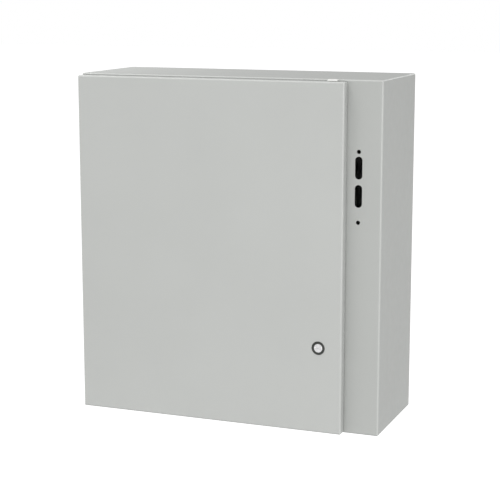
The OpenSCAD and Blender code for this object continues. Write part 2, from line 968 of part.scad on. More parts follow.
// Top-hat rail for the plug-on devices
module din_rail() {
    color("silver")
        translate([rail_x, panel_y, rail_z])
            plate_x(rail_w)
                polygon([[0, -12.5], [0, 12.5], [-6.3, 12.5], [-6.3, 17.5], [-rail_t, 17.5],
                         [-rail_t, 11.3], [-1.2, 11.3], [-1.2, -11.3], [-rail_t, -11.3],
                         [-rail_t, -17.5], [-6.3, -17.5], [-6.3, -12.5]]);
}

module fuse_holders() {
    color("gainsboro")
        for (x = fuse_xs)
            translate([x, 0, rail_z])
                difference() {
                    box_between([-9, panel_y - 58, -38], [9, panel_y - rail_t, 38]);
                    box_between([-6.5, panel_y - 59, -32], [6.5, panel_y - 36, 24]);
                    translate([0, fuse_pivot_y, fuse_pivot_z - rail_z]) rod_x(fuse_pin_r + 0.05, -10, 10);
                }
}

// Carrier of a fuse, with its pivot pin at the lower end and a finger tab at the upper end
module fuse_lever(x) {
    color("darkgray")
        translate([x, fuse_pivot_y, fuse_pivot_z]) {
            rod_x(6, -6.2, 6.2);
            rod_x(fuse_pin_r, -8.9, 8.9);
            box_between([-6.2, -8, 0], [6.2, 8, 40]);
            box_between([-6.2, -16, 30], [6.2, -8, 40]);
        }
}

module fuse_lever_1() {
    fuse_lever(fuse_xs[0]);
}

module fuse_lever_2() {
    fuse_lever(fuse_xs[1]);
}

// Two plug-in relays on their sockets
module relays() {
    color("lightblue")
        for (i = [0, 1])
            translate([rail_x - 46 + i * 30, 0, rail_z]) {
                box_between([-13, panel_y - 30, -36], [13, panel_y - rail_t, 36]);
                box_between([-11, panel_y - 62, -18], [11, panel_y - 30, 18]);
            }
}

module terminal_blocks() {
    color("beige")
        for (i = [0 : 11])
            translate([term_x + i * term_pitch, 0, rail_z])
                difference() {
                    box_between([-3.05, panel_y - 44, -22], [3.05, panel_y - rail_t, 22]);
                    for (s = [-1, 1])
                        translate([0, 0, s * 13]) rod_y(2.2, panel_y - 45, panel_y - 38);
                }
}

module control_transformer() {
    color("#5a4636")
        translate([rail_x - 32, panel_y, 165]) {
            box_between([-40, -2.5, -38], [40, 0, 38]);
            box_between([-34, -62, -26], [34, -2.5, 26]);
            for (s = [-1, 1])
                scale([1, 1, s]) box_between([-24, -54, 26], [24, -10, 38]);
        }
}

// Neutral bar on two insulators, with a row of wire holes
module neutral_bar() {
    color("silver")
        translate([panel_x + 235, panel_y, -110]) {
            for (s = [-1, 1])
                translate([0, 0, s * 75]) rod_y(9, -25, 0);
            difference() {
                box_between([-10, -41, -100], [10, -25, 100]);
                for (i = [-5 : 5])
                    translate([0, -33, i * 16]) {
                        rod_x(4, -11, 11);
                        rod_y(3, -9, -1);
                    }
            }
        }
}

// Slotted duct with its cover, between the controls and the switch
module wiring_duct() {
    duct_w = panel_w - 30;
    color("lightgray")
        translate([panel_x, panel_y, duct_z])
            difference() {
                box_between([-duct_w / 2, -45, -duct_h / 2], [duct_w / 2, 0, duct_h / 2]);
                box_between([-duct_w / 2 - 1, -42, -duct_h / 2 + 2], [duct_w / 2 + 1, -2, duct_h / 2 - 2]);
                for (i = [-19 : 19])
                    translate([i * duct_slot_pitch, 0, 0])
                        box_between([-2.5, -40, -duct_h / 2 - 1], [2.5, -8, duct_h / 2 + 1]);
            }
}

// Slot of the wiring duct that is nearest to x
function duct_slot(x) = panel_x + round((x - panel_x) / duct_slot_pitch) * duct_slot_pitch;

// Control wires, which drop into the duct from above and rise into it from the switch
module control_wiring() {
    top = duct_z + duct_h / 2 - 2;
    bottom = duct_z - duct_h / 2 + 2;
    color("firebrick") {
        for (pole = pole_xs)
            translate([duct_slot(switch_x + pole), base_y - 3, 0]) rod_z(wire_r, switch_z + 155, bottom);
        for (x = [ctrl_x - 60, ctrl_x - 35])
            translate([duct_slot(x), panel_y - 30, 0]) rod_z(wire_r, top, ctrl_z - ctrl_h / 2);
        for (x = fuse_xs)
            translate([duct_slot(x), panel_y - 20, 0]) rod_z(wire_r, top, rail_z - 38);
        for (i = [0 : 2 : 10])
            translate([term_x + i * term_pitch, panel_y - 26, 0]) rod_z(wire_r, top, rail_z - 22);
    }
}

// Screws that hold the switch base to the sub-panel
module panel_screws() {
    color("silver")
        at_switch()
            for (x = [base_l + 14, base_r - 14], s = [-1, 1])
                translate([x, 0, s * (base_half_h - 14)]) {
                    rod_y(3.2, base_y + 4, panel_y);
                    rod_y(6, base_y + 4, base_y + 8);
                }
}

enclosure_body();
panel_studs();
sub_panel();
panel_nuts();
ground_stud();
door_guide();
hinge_body_leaves();
hinge_pins();
door_panel();
door_gasket();
hinge_door_leaves();
door_stiffeners();
document_pocket();
door_bond_stud();
latch_housing();
latch_nut();
latch_spindle();
latch_cam();
latch_cam_screw();
switch_base();
side_frames();
shaft_bushes();
pole_housings();
arc_covers();
normal_contacts();
emergency_contacts();
load_terminals();
terminal_lugs();
lug_screws();
flex_braids();
cross_shaft();
crossbar();
moving_contacts();
drive_crank();
manual_handle();
position_drum();
aux_cams();
solenoid_frames();
solenoid_coils();
armature();
aux_switches();
aux_plunger_normal();
aux_plunger_emergency();
controller_housing();
controller_window();
status_lamps();
test_button();
bypass_button();
selector_knob();
din_rail();
fuse_holders();
fuse_lever_1();
fuse_lever_2();
relays();
terminal_blocks();
control_transformer();
neutral_bar();
wiring_duct();
control_wiring();
panel_screws();
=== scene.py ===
# Looks for the wall-mounted transfer switch: camera, light, materials and the detailed pieces.
import json
import math
import bmesh
import bpy
from mathutils import Matrix, Vector


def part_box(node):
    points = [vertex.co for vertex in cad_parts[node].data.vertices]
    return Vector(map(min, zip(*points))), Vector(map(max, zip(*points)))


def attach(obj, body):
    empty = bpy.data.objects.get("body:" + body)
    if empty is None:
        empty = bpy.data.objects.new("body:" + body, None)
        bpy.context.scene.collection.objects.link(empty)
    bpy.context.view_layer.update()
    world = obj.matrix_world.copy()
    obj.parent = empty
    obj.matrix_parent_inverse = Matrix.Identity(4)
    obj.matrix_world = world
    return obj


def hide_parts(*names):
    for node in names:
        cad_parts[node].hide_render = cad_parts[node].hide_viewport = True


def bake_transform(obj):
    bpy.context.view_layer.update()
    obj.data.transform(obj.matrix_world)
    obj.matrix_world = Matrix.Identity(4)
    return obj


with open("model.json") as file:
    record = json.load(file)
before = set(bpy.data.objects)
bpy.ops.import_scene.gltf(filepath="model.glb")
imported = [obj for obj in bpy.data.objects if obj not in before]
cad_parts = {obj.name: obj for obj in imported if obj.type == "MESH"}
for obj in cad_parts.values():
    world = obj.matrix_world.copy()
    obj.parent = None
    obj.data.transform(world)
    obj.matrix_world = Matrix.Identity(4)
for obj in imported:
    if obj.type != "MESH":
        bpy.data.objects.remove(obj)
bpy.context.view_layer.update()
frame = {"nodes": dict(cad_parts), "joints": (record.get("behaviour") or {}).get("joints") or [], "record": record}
NODES = frame["nodes"]
RECORD = frame["record"]
BODY_OF = {node: body for body, nodes in RECORD["behaviour"]["bodies"].items() for node in nodes}
SLOT_OF = {part["node"]: part["material_slot"] for part in RECORD["subparts"]}
MM = 0.001


def mm(*lengths):
    """Lengths in mm, as metres."""
    return [length * MM for length in lengths]


BODY_LOW, BODY_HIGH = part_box("enclosure_body")
DOOR_LOW, DOOR_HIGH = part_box("door_panel")
BODY_H = BODY_HIGH.z - BODY_LOW.z
DOOR_GAP = 3 * MM
FRONT_Y = DOOR_HIGH.y + DOOR_GAP
FLOOR_DROP = 1.15


# ---------------- camera, light and floor

def add_object(name, data):
    made = bpy.data.objects.new(name, data)
    bpy.context.scene.collection.objects.link(made)
    return made


def map_range(tree, value, start, stop, low=0.0, high=1.0):
    """low where the value is at start, high at stop, and level beyond them."""
    ramp = tree.nodes.new("ShaderNodeMapRange")
    for name, number in (("From Min", start), ("From Max", stop), ("To Min", low), ("To Max", high)):
        ramp.inputs[name].default_value = number
    tree.links.new(value, ramp.inputs["Value"])
    return ramp.outputs["Result"]


def add_camera():
    """A long lens to the right and slightly above."""
    heights_away = Vector((1.995, -3.762, 1.260))
    down, across = 10.53, 21.33
    corner = Vector((BODY_LOW.x, FRONT_Y, BODY_LOW.z))
    data = bpy.data.cameras.new("camera")
    data.sensor_width = 36
    data.lens = 103.8
    camera = add_object("camera", data)
    camera.location = corner + BODY_H * heights_away
    camera.rotation_euler = (math.radians(90 - down), 0, math.radians(across))
    bpy.context.scene.camera = camera


def add_softbox(name, direction, distance, size, power):
    """A square area light that looks at the middle of the body from the given direction."""
    data = bpy.data.lights.new(name, "AREA")
    data.size = size
    data.energy = power
    light = add_object(name, data)
    target = (BODY_LOW + BODY_HIGH) / 2
    light.location = target + Vector(direction).normalized() * distance
    light.rotation_euler = (target - light.location).to_track_quat("-Z", "Y").to_euler()


def add_world(front, behind):
    """Surroundings that look white, and whose light fades from the front to the back."""
    world = bpy.data.worlds.new("studio")
    bpy.context.scene.world = world
    world.use_nodes = True
    nodes, links = world.node_tree.nodes, world.node_tree.links
    nodes.clear()
    kinds = ("OutputWorld", "Background", "Background", "MixShader", "LightPath", "TexCoord", "SeparateXYZ")
    out, seen, lit, mix, path, direction, parts = (nodes.new("ShaderNode" + kind) for kind in kinds)
    for shader in (seen, lit):
        shader.inputs["Color"].default_value = (1, 1, 1, 1)
    seen.inputs["Strength"].default_value = 1.0
    links.new(direction.outputs["Generated"], parts.inputs["Vector"])
    fade = map_range(world.node_tree, parts.outputs["Y"], -1, 1, front, behind)
    links.new(fade, lit.inputs["Strength"])
    links.new(path.outputs["Is Camera Ray"], mix.inputs[0])
    links.new(lit.outputs[0], mix.inputs[1])
    links.new(seen.outputs[0], mix.inputs[2])
    links.new(mix.outputs[0], out.inputs["Surface"])


def floor_material(given, seen):
    """Pale matt floor that glows more to the camera than in the light it gives."""
    material = bpy.data.materials.new("floor")
    material.use_nodes = True
    tree = material.node_tree
    shader = tree.nodes["Principled BSDF"]
    shader.inputs["Base Color"].default_value = (0.75, 0.75, 0.75, 1)
    shader.inputs["Roughness"].default_value = 0.9
    shader.inputs["Emission Color"].default_value = (1, 1, 1, 1)
    path = tree.nodes.new("ShaderNodeLightPath")
    glow = map_range(tree, path.outputs["Is Camera Ray"], 0, 1, given, seen)
    tree.links.new(glow, shader.inputs["Emission Strength"])
    return material


def add_floor():
    """A wide floor, well below a box that hangs on a wall."""
    half, z = 40, BODY_LOW.z - FLOOR_DROP
    mesh = bpy.data.meshes.new("floor")
    corners = [(-half, -half, z), (half, -half, z), (half, half, z), (-half, half, z)]
    mesh.from_pydata(corners, [], [(0, 1, 2, 3)])
    mesh.materials.append(floor_material(given=0.22, seen=0.62))
    add_object("floor", mesh)


add_camera()
add_world(front=0.815, behind=0.525)
add_floor()
add_softbox("overhead", (-0.33, -0.28, 0.9), distance=4.0, size=1.3, power=33)
add_softbox("behind", (0.18, 0.92, 0.36), distance=4.0, size=1.0, power=8)
add_softbox("left", (-0.8, 0.15, 0.6), distance=1.2, size=0.5, power=5)
add_softbox("right", (0.54, -0.84, 0.0), distance=4.5, size=1.0, power=39)
bpy.context.scene.view_settings.view_transform = "Standard"


# ---------------- materials

class Surface:
    """Builds one procedural material; every texture is in the object's own metres."""

    def __init__(self, name, metallic=0.0, specular=0.5, coat=0.0):
        self.material = bpy.data.materials.new(name)
        self.material.use_nodes = True
        self.tree = self.material.node_tree
        self.nodes, self.links = self.tree.nodes, self.tree.links
        self.shader = self.nodes["Principled BSDF"]
        self.shader.inputs["Metallic"].default_value = metallic
        self.shader.inputs["Specular IOR Level"].default_value = specular
        self.shader.inputs["Coat Weight"].default_value = coat
        self.shader.inputs["Coat Roughness"].default_value = 0.1
        self.place = self.node("TexCoord").outputs
        self.normal = None

    def node(self, kind, **values):
        """A new node with these values on its sockets."""
        made = self.nodes.new("ShaderNode" + kind)
        for name, value in values.items():
            made.inputs[name].default_value = value
        return made

    def noise(self, per_metre, detail, stretch):
        mapping = self.node("Mapping", Scale=stretch)
        noise = self.node("TexNoise", Scale=per_metre, Detail=detail)
        self.links.new(self.place["Object"], mapping.inputs["Vector"])
        self.links.new(mapping.outputs["Vector"], noise.inputs["Vector"])
        return noise.outputs["Fac"]

    def mottle(self, per_metre, detail, stretch, low=0.0, high=1.0):
        """The middle of a noise, spread from low to high."""
        noise = self.noise(per_metre, detail, stretch)
        return map_range(self.tree, noise, 0.3, 0.7, low, high)

    def mix(self, fac, one, two):
        mix = self.node("Mix")
        mix.data_type = "RGBA"
        self.links.new(fac, mix.inputs["Factor"])
        for value, socket in ((one, mix.inputs[6]), (two, mix.inputs[7])):
            if isinstance(value, tuple):
                socket.default_value = (*value, 1)
            else:
                self.links.new(value, socket)
        return mix.outputs[2]

    def colour(self, one, two, per_metre, detail=3.0, stretch=(1, 1, 1)):
        """Two tones that blend into each other with a noise."""
        fac = self.mottle(per_metre, detail, stretch)
        self.links.new(self.mix(fac, one, two), self.shader.inputs["Base Color"])

    def painted_fold_light(self, bright, fold_shade):
        """Painted highlight and painted shade: a lighter tone on a square box's folds, and a darker one on those
        that face down.
        """
        facing = self.place["Normal"]
        size = self.node("VectorMath")
        size.operation = "ABSOLUTE"
        self.links.new(facing, size.inputs[0])
        parts, signed = self.node("SeparateXYZ"), self.node("SeparateXYZ")
        self.links.new(facing, signed.inputs["Vector"])
        self.links.new(size.outputs["Vector"], parts.inputs["Vector"])
        largest = parts.outputs["X"]
        for axis in "YZ":
            most = self.node("Math")
            most.operation = "MAXIMUM"
            self.links.new(largest, most.inputs[0])
            self.links.new(parts.outputs[axis], most.inputs[1])
            largest = most.outputs["Value"]
        # Folds that face down take the darker tone, as painted shade where less light falls
        not_down = map_range(self.tree, signed.outputs["Z"], -0.3, -0.02)
        tone = self.mix(not_down, fold_shade, bright)
        base = self.shader.inputs["Base Color"].links[0].from_socket
        # A square face has one component of 1, and a fold has none that is near it
        # The folds take the painted highlight tone in place of the paint's own colour
        off_square = map_range(self.tree, largest, 0.99, 0.88)
        self.links.new(self.mix(off_square, base, tone), self.shader.inputs["Base Color"])

    def roughness(self, low, high, per_metre, detail=3.0, stretch=(1, 1, 1)):
        value = self.mottle(per_metre, detail, stretch, low, high)
        self.links.new(value, self.shader.inputs["Roughness"])

    def bump(self, per_metre, depth, stretch=(1, 1, 1)):
        """Adds fine relief to what is already there."""
        bump = self.node("Bump", Strength=1.0, Distance=depth)
        self.links.new(self.noise(per_metre, 2.0, stretch), bump.inputs["Height"])
        if self.normal:
            self.links.new(self.normal, bump.inputs["Normal"])
        self.normal = bump.outputs["Normal"]
        self.links.new(self.normal, self.shader.inputs["Normal"])


def scaled(colour, factor, lift=0.0):
    return tuple(min(1.0, c * factor + lift) for c in colour)


def powder_coat(name, colour, edge):
    """Satin powder coat: a fine orange peel, a barely uneven tone, a painted highlight on the folds and painted
    shade on those that face down.
    """
    surface = Surface(name, specular=0.8)
    surface.colour(scaled(colour, 0.985), scaled(colour, 1.015), 5, detail=6)
    # Painted highlight on the folds, and painted shade on the folds that face down
    surface.painted_fold_light(bright=scaled(colour, edge), fold_shade=scaled(colour, 0.68))
    surface.roughness(0.36, 0.44, 60)
    surface.bump(380, 0.05 * MM)
    surface.bump(1500, 0.012 * MM)
    return surface.material


def plated_steel(name, colour, tint):
    """Zinc plating: fine drawn streaks, with a faint coloured bloom."""
    surface = Surface(name, metallic=1.0)
    surface.colour(colour, tint, 30, detail=4)
    surface.roughness(0.24, 0.42, 180, stretch=(1, 1, 0.12))
    surface.bump(900, 0.006 * MM, stretch=(1, 1, 0.08))
    return surface.material


def plastic(name, colour, roughness, grain, coat=0.0):
    """Moulded plastic with a fine spark-eroded grain."""
    surface = Surface(name, coat=coat)
    surface.colour(colour, scaled(colour, 1.06, 0.004), 12, detail=5)
    surface.roughness(roughness - 0.05, roughness + 0.06, 90)
    surface.bump(2600, grain * MM)
    return surface.material


def bare_copper(name, colour, tarnish):
    """Copper bar with drawn lines and a patchy tarnish."""
    surface = Surface(name, metallic=1.0)
    surface.colour(colour, tarnish, 45, detail=6)
    surface.roughness(0.22, 0.45, 70, detail=5)
    surface.bump(700, 0.008 * MM, stretch=(1, 1, 0.1))
    return surface.material


# Each maker's arguments after the name
RECIPES = {
    powder_coat: {
        # Colour, and how much lighter the painted highlight on the folds is
        "door_paint": ((0.51, 0.522, 0.505), 1.1),
        "enclosure_paint": ((0.455, 0.467, 0.45), 1.22),
        "panel_paint": ((0.82, 0.82, 0.8), 1.08),
    },
    plated_steel: {
        "zinc_steel": ((0.60, 0.60, 0.58), (0.66, 0.64, 0.56)),
        "dark_hinge_steel": ((0.09, 0.09, 0.095), (0.13, 0.125, 0.12)),
        "bright_chrome": ((0.86, 0.86, 0.87), (0.9, 0.9, 0.9)),
        "lug_aluminium": ((0.72, 0.73, 0.74), (0.8, 0.8, 0.79)),
        "lamination_steel": ((0.12, 0.11, 0.1), (0.17, 0.15, 0.13)),
    },
    bare_copper: {
        "copper": ((0.80, 0.42, 0.26), (0.55, 0.26, 0.15)),
        "braid_copper": ((0.72, 0.36, 0.2), (0.45, 0.2, 0.1)),
        "brass": ((0.78, 0.6, 0.28), (0.6, 0.44, 0.2)),
    },
    # Colour, roughness, depth of grain in mm, gloss coat
    plastic: {
        "dark_zinc": ((0.027, 0.03, 0.026), 0.4, 0.004),
        "nylon_white": ((0.86, 0.86, 0.84), 0.42, 0.006),
        "foam_gasket": ((0.03, 0.03, 0.032), 0.85, 0.08),
        "pocket_plastic": ((0.30, 0.31, 0.32), 0.5, 0.02),
        "black_moulding": ((0.022, 0.022, 0.025), 0.48, 0.015),
        "brown_moulding": ((0.085, 0.042, 0.025), 0.42, 0.01),
        "red_moulding": ((0.45, 0.022, 0.016), 0.34, 0.008),
        "yellow_plastic": ((0.78, 0.55, 0.035), 0.36, 0.006),
        "ivory_plastic": ((0.74, 0.70, 0.58), 0.42, 0.008),
        "grey_plastic": ((0.36, 0.37, 0.38), 0.45, 0.012),
        "blue_plastic": ((0.04, 0.14, 0.42), 0.36, 0.006),
        "coil_wrap": ((0.42, 0.13, 0.02), 0.3, 0.01, 0.5),
        "window_clear": ((0.012, 0.02, 0.022), 0.08, 0.0005, 1.0),
        "lamp_green": ((0.03, 0.5, 0.09), 0.2, 0.002, 0.6),
        "wire_black": ((0.02, 0.02, 0.022), 0.35, 0.004),
        "wire_blue": ((0.03, 0.09, 0.4), 0.35, 0.004),
        "wire_white": ((0.72, 0.72, 0.7), 0.35, 0.004),
        "wire_red": ((0.5, 0.02, 0.015), 0.35, 0.004),
        "earth_green": ((0.05, 0.3, 0.06), 0.4, 0.008),
        "relay_cover": ((0.5, 0.44, 0.3), 0.18, 0.002, 0.7),
        "face_print": ((0.05, 0.06, 0.075), 0.5, 0.01),
        "tape_wrap": ((0.62, 0.47, 0.1), 0.28, 0.02, 0.3),
    },
}
MATERIALS = {name: make(name, *details) for make, table in RECIPES.items()
             for name, details in table.items()}

for node, thing in NODES.items():
    finish = "door_paint" if node == "door_panel" else SLOT_OF[node]
    for slot in thing.material_slots:
        slot.material = MATERIALS[finish]


# ---------------- mesh helpers

X_AXIS, Y_AXIS, Z_AXIS = Vector((1, 0, 0)), Vector((0, 1, 0)), Vector((0, 0, 1))
# Direction along an axis, then the two across it
FRAMES = {"x": (X_AXIS, Y_AXIS, Z_AXIS), "y": (Y_AXIS, X_AXIS, Z_AXIS), "z": (Z_AXIS, X_AXIS, Y_AXIS)}
BEVEL_ABOVE = math.radians(32)
SHARP_ABOVE = math.radians(50)


def merged_copy(node):
    """The CAD node's mesh with its seams joined and its flat faces whole."""
    bm = bmesh.new()
    bm.from_mesh(NODES[node].data)
    bmesh.ops.remove_doubles(bm, verts=bm.verts, dist=1e-6)
    bmesh.ops.dissolve_limit(bm, angle_limit=0.01, verts=bm.verts, edges=bm.edges)
    return bm


def islands(bm):
    """Groups of vertices that hang together."""
    left = set(bm.verts)
    groups = []
    while left:
        stack = [left.pop()]
        group = list(stack)
        while stack:
            vert = stack.pop()
            near = {edge.other_vert(vert) for edge in vert.link_edges} & left
            left -= near
            stack.extend(near)
            group.extend(near)
        groups.append(group)
    return groups


def solids(node):
    """(lowest, highest) corner of each separate solid in a CAD node, ordered by x, then z."""
    bm = merged_copy(node)
    boxes = []
    for group in islands(bm):
        low = Vector([min(vert.co[i] for vert in group) for i in range(3)])
        high = Vector([max(vert.co[i] for vert in group) for i in range(3)])
        boxes.append((low, high))
    bm.free()
    return sorted(boxes, key=lambda box: (round(box[0].x, 4), round(box[0].z, 4)))


def middle(node):
    low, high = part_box(node)
    return (low + high) / 2


def front_middle(low, high):
    """Middle of a box as seen from the front, at y = 0."""
    return Vector(((low.x + high.x) / 2, 0, (low.z + high.z) / 2))


def apply_modifiers(piece):
    """Turns the piece's modifiers into plain mesh."""
    graph = bpy.context.evaluated_depsgraph_get()
    final = bpy.data.meshes.new_from_object(piece.evaluated_get(graph))
    piece.modifiers.clear()
    piece.data = final


def smooth_object(name, bm, key):
    """Turns a bmesh into a smoothly shaded object with one finish."""
    bmesh.ops.recalc_face_normals(bm, faces=bm.faces)
    for face in bm.faces:
        face.smooth = True
    mesh = bpy.data.meshes.new(name)
    bm.to_mesh(mesh)
    bm.free()
    mesh.materials.append(MATERIALS[key])
    return add_object(name, mesh)


def make_piece(name, bm, key, body="enclosure", replaces=None, bevel=0.0, segments=2):
    """Turns a bmesh into a piece with bevelled edges and smooth round faces, and rides it on its body."""
    piece = smooth_object(name, bm, key)
    if bevel:
        edge = piece.modifiers.new("edge", "BEVEL")
        edge.width = bevel
        edge.segments = segments
        edge.limit_method = "ANGLE"
        edge.angle_limit = BEVEL_ABOVE
        edge.use_clamp_overlap = False
        apply_modifiers(piece)
    piece.data.set_sharp_from_angle(angle=SHARP_ABOVE)
    weighted = piece.modifiers.new("weighted", "WEIGHTED_NORMAL")
    weighted.keep_sharp = True
    apply_modifiers(piece)
    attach(piece, body)
    if replaces:
        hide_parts(replaces)
    return piece


def soften(width, *nodes, segments=2):
    """Stands in for CAD nodes with the same shapes, their sharp edges rounded by so many mm."""
    for node in nodes:
        bm = merged_copy(node)
        piece = make_piece(node + ".rounded", bm, SLOT_OF[node], BODY_OF[node], node, width * MM, segments)
    return piece


def add_tone(piece, key, test):
    """Gives a second material to the faces whose middle passes the test."""
    piece.data.materials.append(MATERIALS[key])
    for polygon in piece.data.polygons:
        if test(polygon.center):
            polygon.material_index = 1


def add_box(bm, low, high):
    xs, ys, zs = zip(low, high)
    corners = [Vector((x, y, z)) for x in xs for y in ys for z in zs]
    verts = [bm.verts.new(corner) for corner in corners]
    for quad in ((0, 1, 3, 2), (4, 6, 7, 5), (0, 4, 5, 1), (2, 3, 7, 6), (0, 2, 6, 4), (1, 5, 7, 3)):
        bm.faces.new([verts[i] for i in quad])


def ring(bm, centre, axis, along, radius, steps):
    """Vertices round an axis, or one on it where the radius is 0."""
    a, u, w = FRAMES[axis]
    if radius == 0:
        return [bm.verts.new(centre + a * along)]
    angles = [2 * math.pi * i / steps for i in range(steps)]
    return [bm.verts.new(centre + a * along + (u * math.cos(t) + w * math.sin(t)) * radius) for t in angles]


def bridge(bm, one, two):
    """Faces between two rings, either of which may be a single point."""
    steps = max(len(one), len(two))
    for i in range(steps):
        j = (i + 1) % steps
        corners = [one[i % len(one)], one[j % len(one)], two[j % len(two)], two[i % len(two)]]
        corners = list(dict.fromkeys(corners))
        if len(corners) > 2:
            bm.faces.new(corners)


def skin(bm, rings, closed=False):
    """Faces from each ring to the next, and from the last back to the first where closed."""
    following = rings[1:] + rings[:1] if closed else rings[1:]
    for one, two in zip(rings, following):
        bridge(bm, one, two)


def cap(bm, rings):
    """Faces over the first ring and the last."""
    bm.faces.new(rings[0])
    bm.faces.new(rings[-1])


def lathe(bm, centre, axis, profile, steps=40, closed=False):
    """Turns (distance along the axis, radius) pairs about an axis."""
    skin(bm, [ring(bm, centre, axis, along, radius, steps) for along, radius in profile], closed)


def level_loop(bm, outline, y):
    """Vertices along an (x, z) outline at one depth."""
    return [bm.verts.new(Vector((x, y, z))) for x, z in outline]


def prism(bm, outline, axis, start, end):
    """Extrudes an outline, given across the axis, from start to end along it."""
    a, u, w = FRAMES[axis]
    ends = [[bm.verts.new(a * t + u * p + w * q) for p, q in outline] for t in (start, end)]
    cap(bm, ends)
    skin(bm, ends)


def rounded_outline(low, high, radius, steps=6):
    """Outline of a rectangle with round corners."""
    points = []
    for sx, sy, start in ((1, 1, 0), (-1, 1, 90), (-1, -1, 180), (1, -1, 270)):
        cx = (high[0] if sx > 0 else low[0]) - sx * radius
        cy = (high[1] if sy > 0 else low[1]) - sy * radius
        for i in range(steps + 1):
            t = math.radians(start + 90 * i / steps)
            points.append((cx + radius * math.cos(t), cy + radius * math.sin(t)))
    return points


def front_outline(low, high, grow, radius, steps=6):
    """Rounded outline of a box as seen from the front, grown all round."""
    return rounded_outline((low.x - grow, low.z - grow), (high.x + grow, high.z + grow), radius, steps)


def centred_outline(x, y, half_x, half_y, radius):
    """Rounded outline about its middle."""
    return rounded_outline((x - half_x, y - half_y), (x + half_x, y + half_y), radius)


def shifted(a, b, *pairs):
    """Points from pairs in mm, measured from (a, b)."""
    return [(a + u * MM, b + v * MM) for u, v in pairs]


def mirrored(a, b, *pairs):
    """Points from pairs in mm, measured from (a, b), then back along their mirror image below b."""
    return shifted(a, b, *pairs) + shifted(a, b, *((u, -v) for u, v in reversed(pairs)))


def smooth_path(points, steps=8):
    """Points along a smooth curve through the given ones."""
    points = [Vector(point) for point in points]
    padded = [2 * points[0] - points[1]] + points + [2 * points[-1] - points[-2]]
    path = []
    for a, b, c, d in zip(padded, padded[1:], padded[2:], padded[3:]):
        for i in range(steps):
            t = i / steps
            path.append(0.5 * (2 * b + (c - a) * t + (2 * a - 5 * b + 4 * c - d) * t * t
                               + (3 * b - a - 3 * c + d) * t ** 3))
    return path + [points[-1]]


def sweep(bm, path, half_w, half_t, sides=8):
    """A wire of elliptic section along a path, its width kept close to X."""
    rings = []
    turns = [2 * math.pi * k / sides for k in range(sides)]
    for i, point in enumerate(path):
        along = (path[min(i + 1, len(path) - 1)] - path[max(i - 1, 0)]).normalized()
        wide = (X_AXIS - along * X_AXIS.dot(along)).normalized()
        thick = along.cross(wide)
        rings.append([bm.verts.new(point + wide * half_w * math.cos(t) + thick * half_t * math.sin(t))
                      for t in turns])
    skin(bm, rings)
    cap(bm, rings)


def carved(body_bm, tool_bm):
    """The first shape with the second cut out of it."""
    made = []
    for bm in (body_bm, tool_bm):
        bmesh.ops.recalc_face_normals(bm, faces=bm.faces)
        mesh = bpy.data.meshes.new("carving")
        bm.to_mesh(mesh)
        bm.free()
        made.append(add_object("carving", mesh))
    cut = made[0].modifiers.new("cut", "BOOLEAN")
    cut.solver = "EXACT"
    cut.object = made[1]
    graph = bpy.context.evaluated_depsgraph_get()
    result = bmesh.new()
    result.from_mesh(made[0].evaluated_get(graph).to_mesh())
    for thing in made:
        bpy.data.objects.remove(thing)
    return result


def cross_screw(radius, height):
    """Pan head with a cross recess, at the origin and facing -Y."""
    bm = bmesh.new()
    profile = [(0, 0), (0, radius), (-0.35 * height, radius), (-0.75 * height, 0.86 * radius),
               (-0.95 * height, 0.6 * radius), (-height, 0)]
    lathe(bm, Vector(), "y", profile, 32)
    far, near = 0.55 * radius, 0.13 * radius
    cross = []
    quarter = [(near, near), (near, far), (-near, far)]
    for _ in range(4):
        cross += quarter
        quarter = [(-y, x) for x, y in quarter]
    tool = bmesh.new()
    prism(tool, cross, "y", -1.5 * height, -0.3 * height)
    return carved(bm, tool)


def slot_screw(radius, height):
    """Cheese head with one slot, at the origin and facing -Y."""
    bm = bmesh.new()
    profile = [(0, 0), (0, radius), (-0.8 * height, radius), (-height, 0.85 * radius), (-height, 0)]
    lathe(bm, Vector(), "y", profile, 28)
    tool = bmesh.new()
    long, wide = 1.2 * radius, 0.15 * radius
    add_box(tool, (-long, -1.5 * height, -wide), (long, -0.45 * height, wide))
    return carved(bm, tool)


def place_copies(name, template, places, key, replaces=None):
    """One piece made of a small mesh repeated at the places, each copy turned a little further about Y."""
    mesh = bpy.data.meshes.new("template")
    template.to_mesh(mesh)
    template.free()
    bm = bmesh.new()
    for i, place in enumerate(places):
        start = len(bm.verts)
        bm.from_mesh(mesh)
        bm.verts.ensure_lookup_table()
        turn = Matrix.Translation(place) @ Matrix.Rotation(0.7 * i, 4, "Y")
        bmesh.ops.transform(bm, matrix=turn, verts=bm.verts[start:])
    bpy.data.meshes.remove(mesh)
    make_piece(name, bm, key, replaces=replaces)


# ---------------- outside

def latch_ring():
    """Domed ring with a rolled inner lip, and the threaded barrel behind it."""
    low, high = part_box("latch_housing")
    head_low, head_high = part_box("latch_spindle")
    face = DOOR_LOW.y
    seat = face + 5 * MM
    proud = face - low.y
    outer = (high.x - low.x) / 2
    inner = (head_high.x - head_low.x) / 2 + 0.05 * MM
    bore, barrel, pitch = mm(5.05, 11, 1.5)
    profile = [(face, outer - 0.2 * MM), (face - 0.25 * proud, outer),
               (face - 0.55 * proud, outer - 0.35 * MM), (face - 0.85 * proud, outer - 1.2 * MM),
               (face - proud, outer - 2.2 * MM), (face - proud, inner + 1.5 * MM),
               (face - 0.9 * proud, inner + 0.7 * MM), (face - 0.55 * proud, inner + 0.15 * MM),
               (face - 0.2 * proud, inner), (seat, inner), (seat, bore), (high.y, bore),
               (high.y, barrel - 0.6 * MM)]
    thread = high.y - 0.6 * MM
    while thread - pitch > face + 0.5 * MM:
        profile += [(thread, barrel), (thread - pitch / 2, barrel - 0.55 * MM)]
        thread -= pitch
    profile += [(face + 0.2 * MM, barrel)]
    bm = bmesh.new()
    lathe(bm, front_middle(low, high), "y", profile, 64, closed=True)
    make_piece("latch_ring", bm, "dark_zinc", "door", "latch_housing")


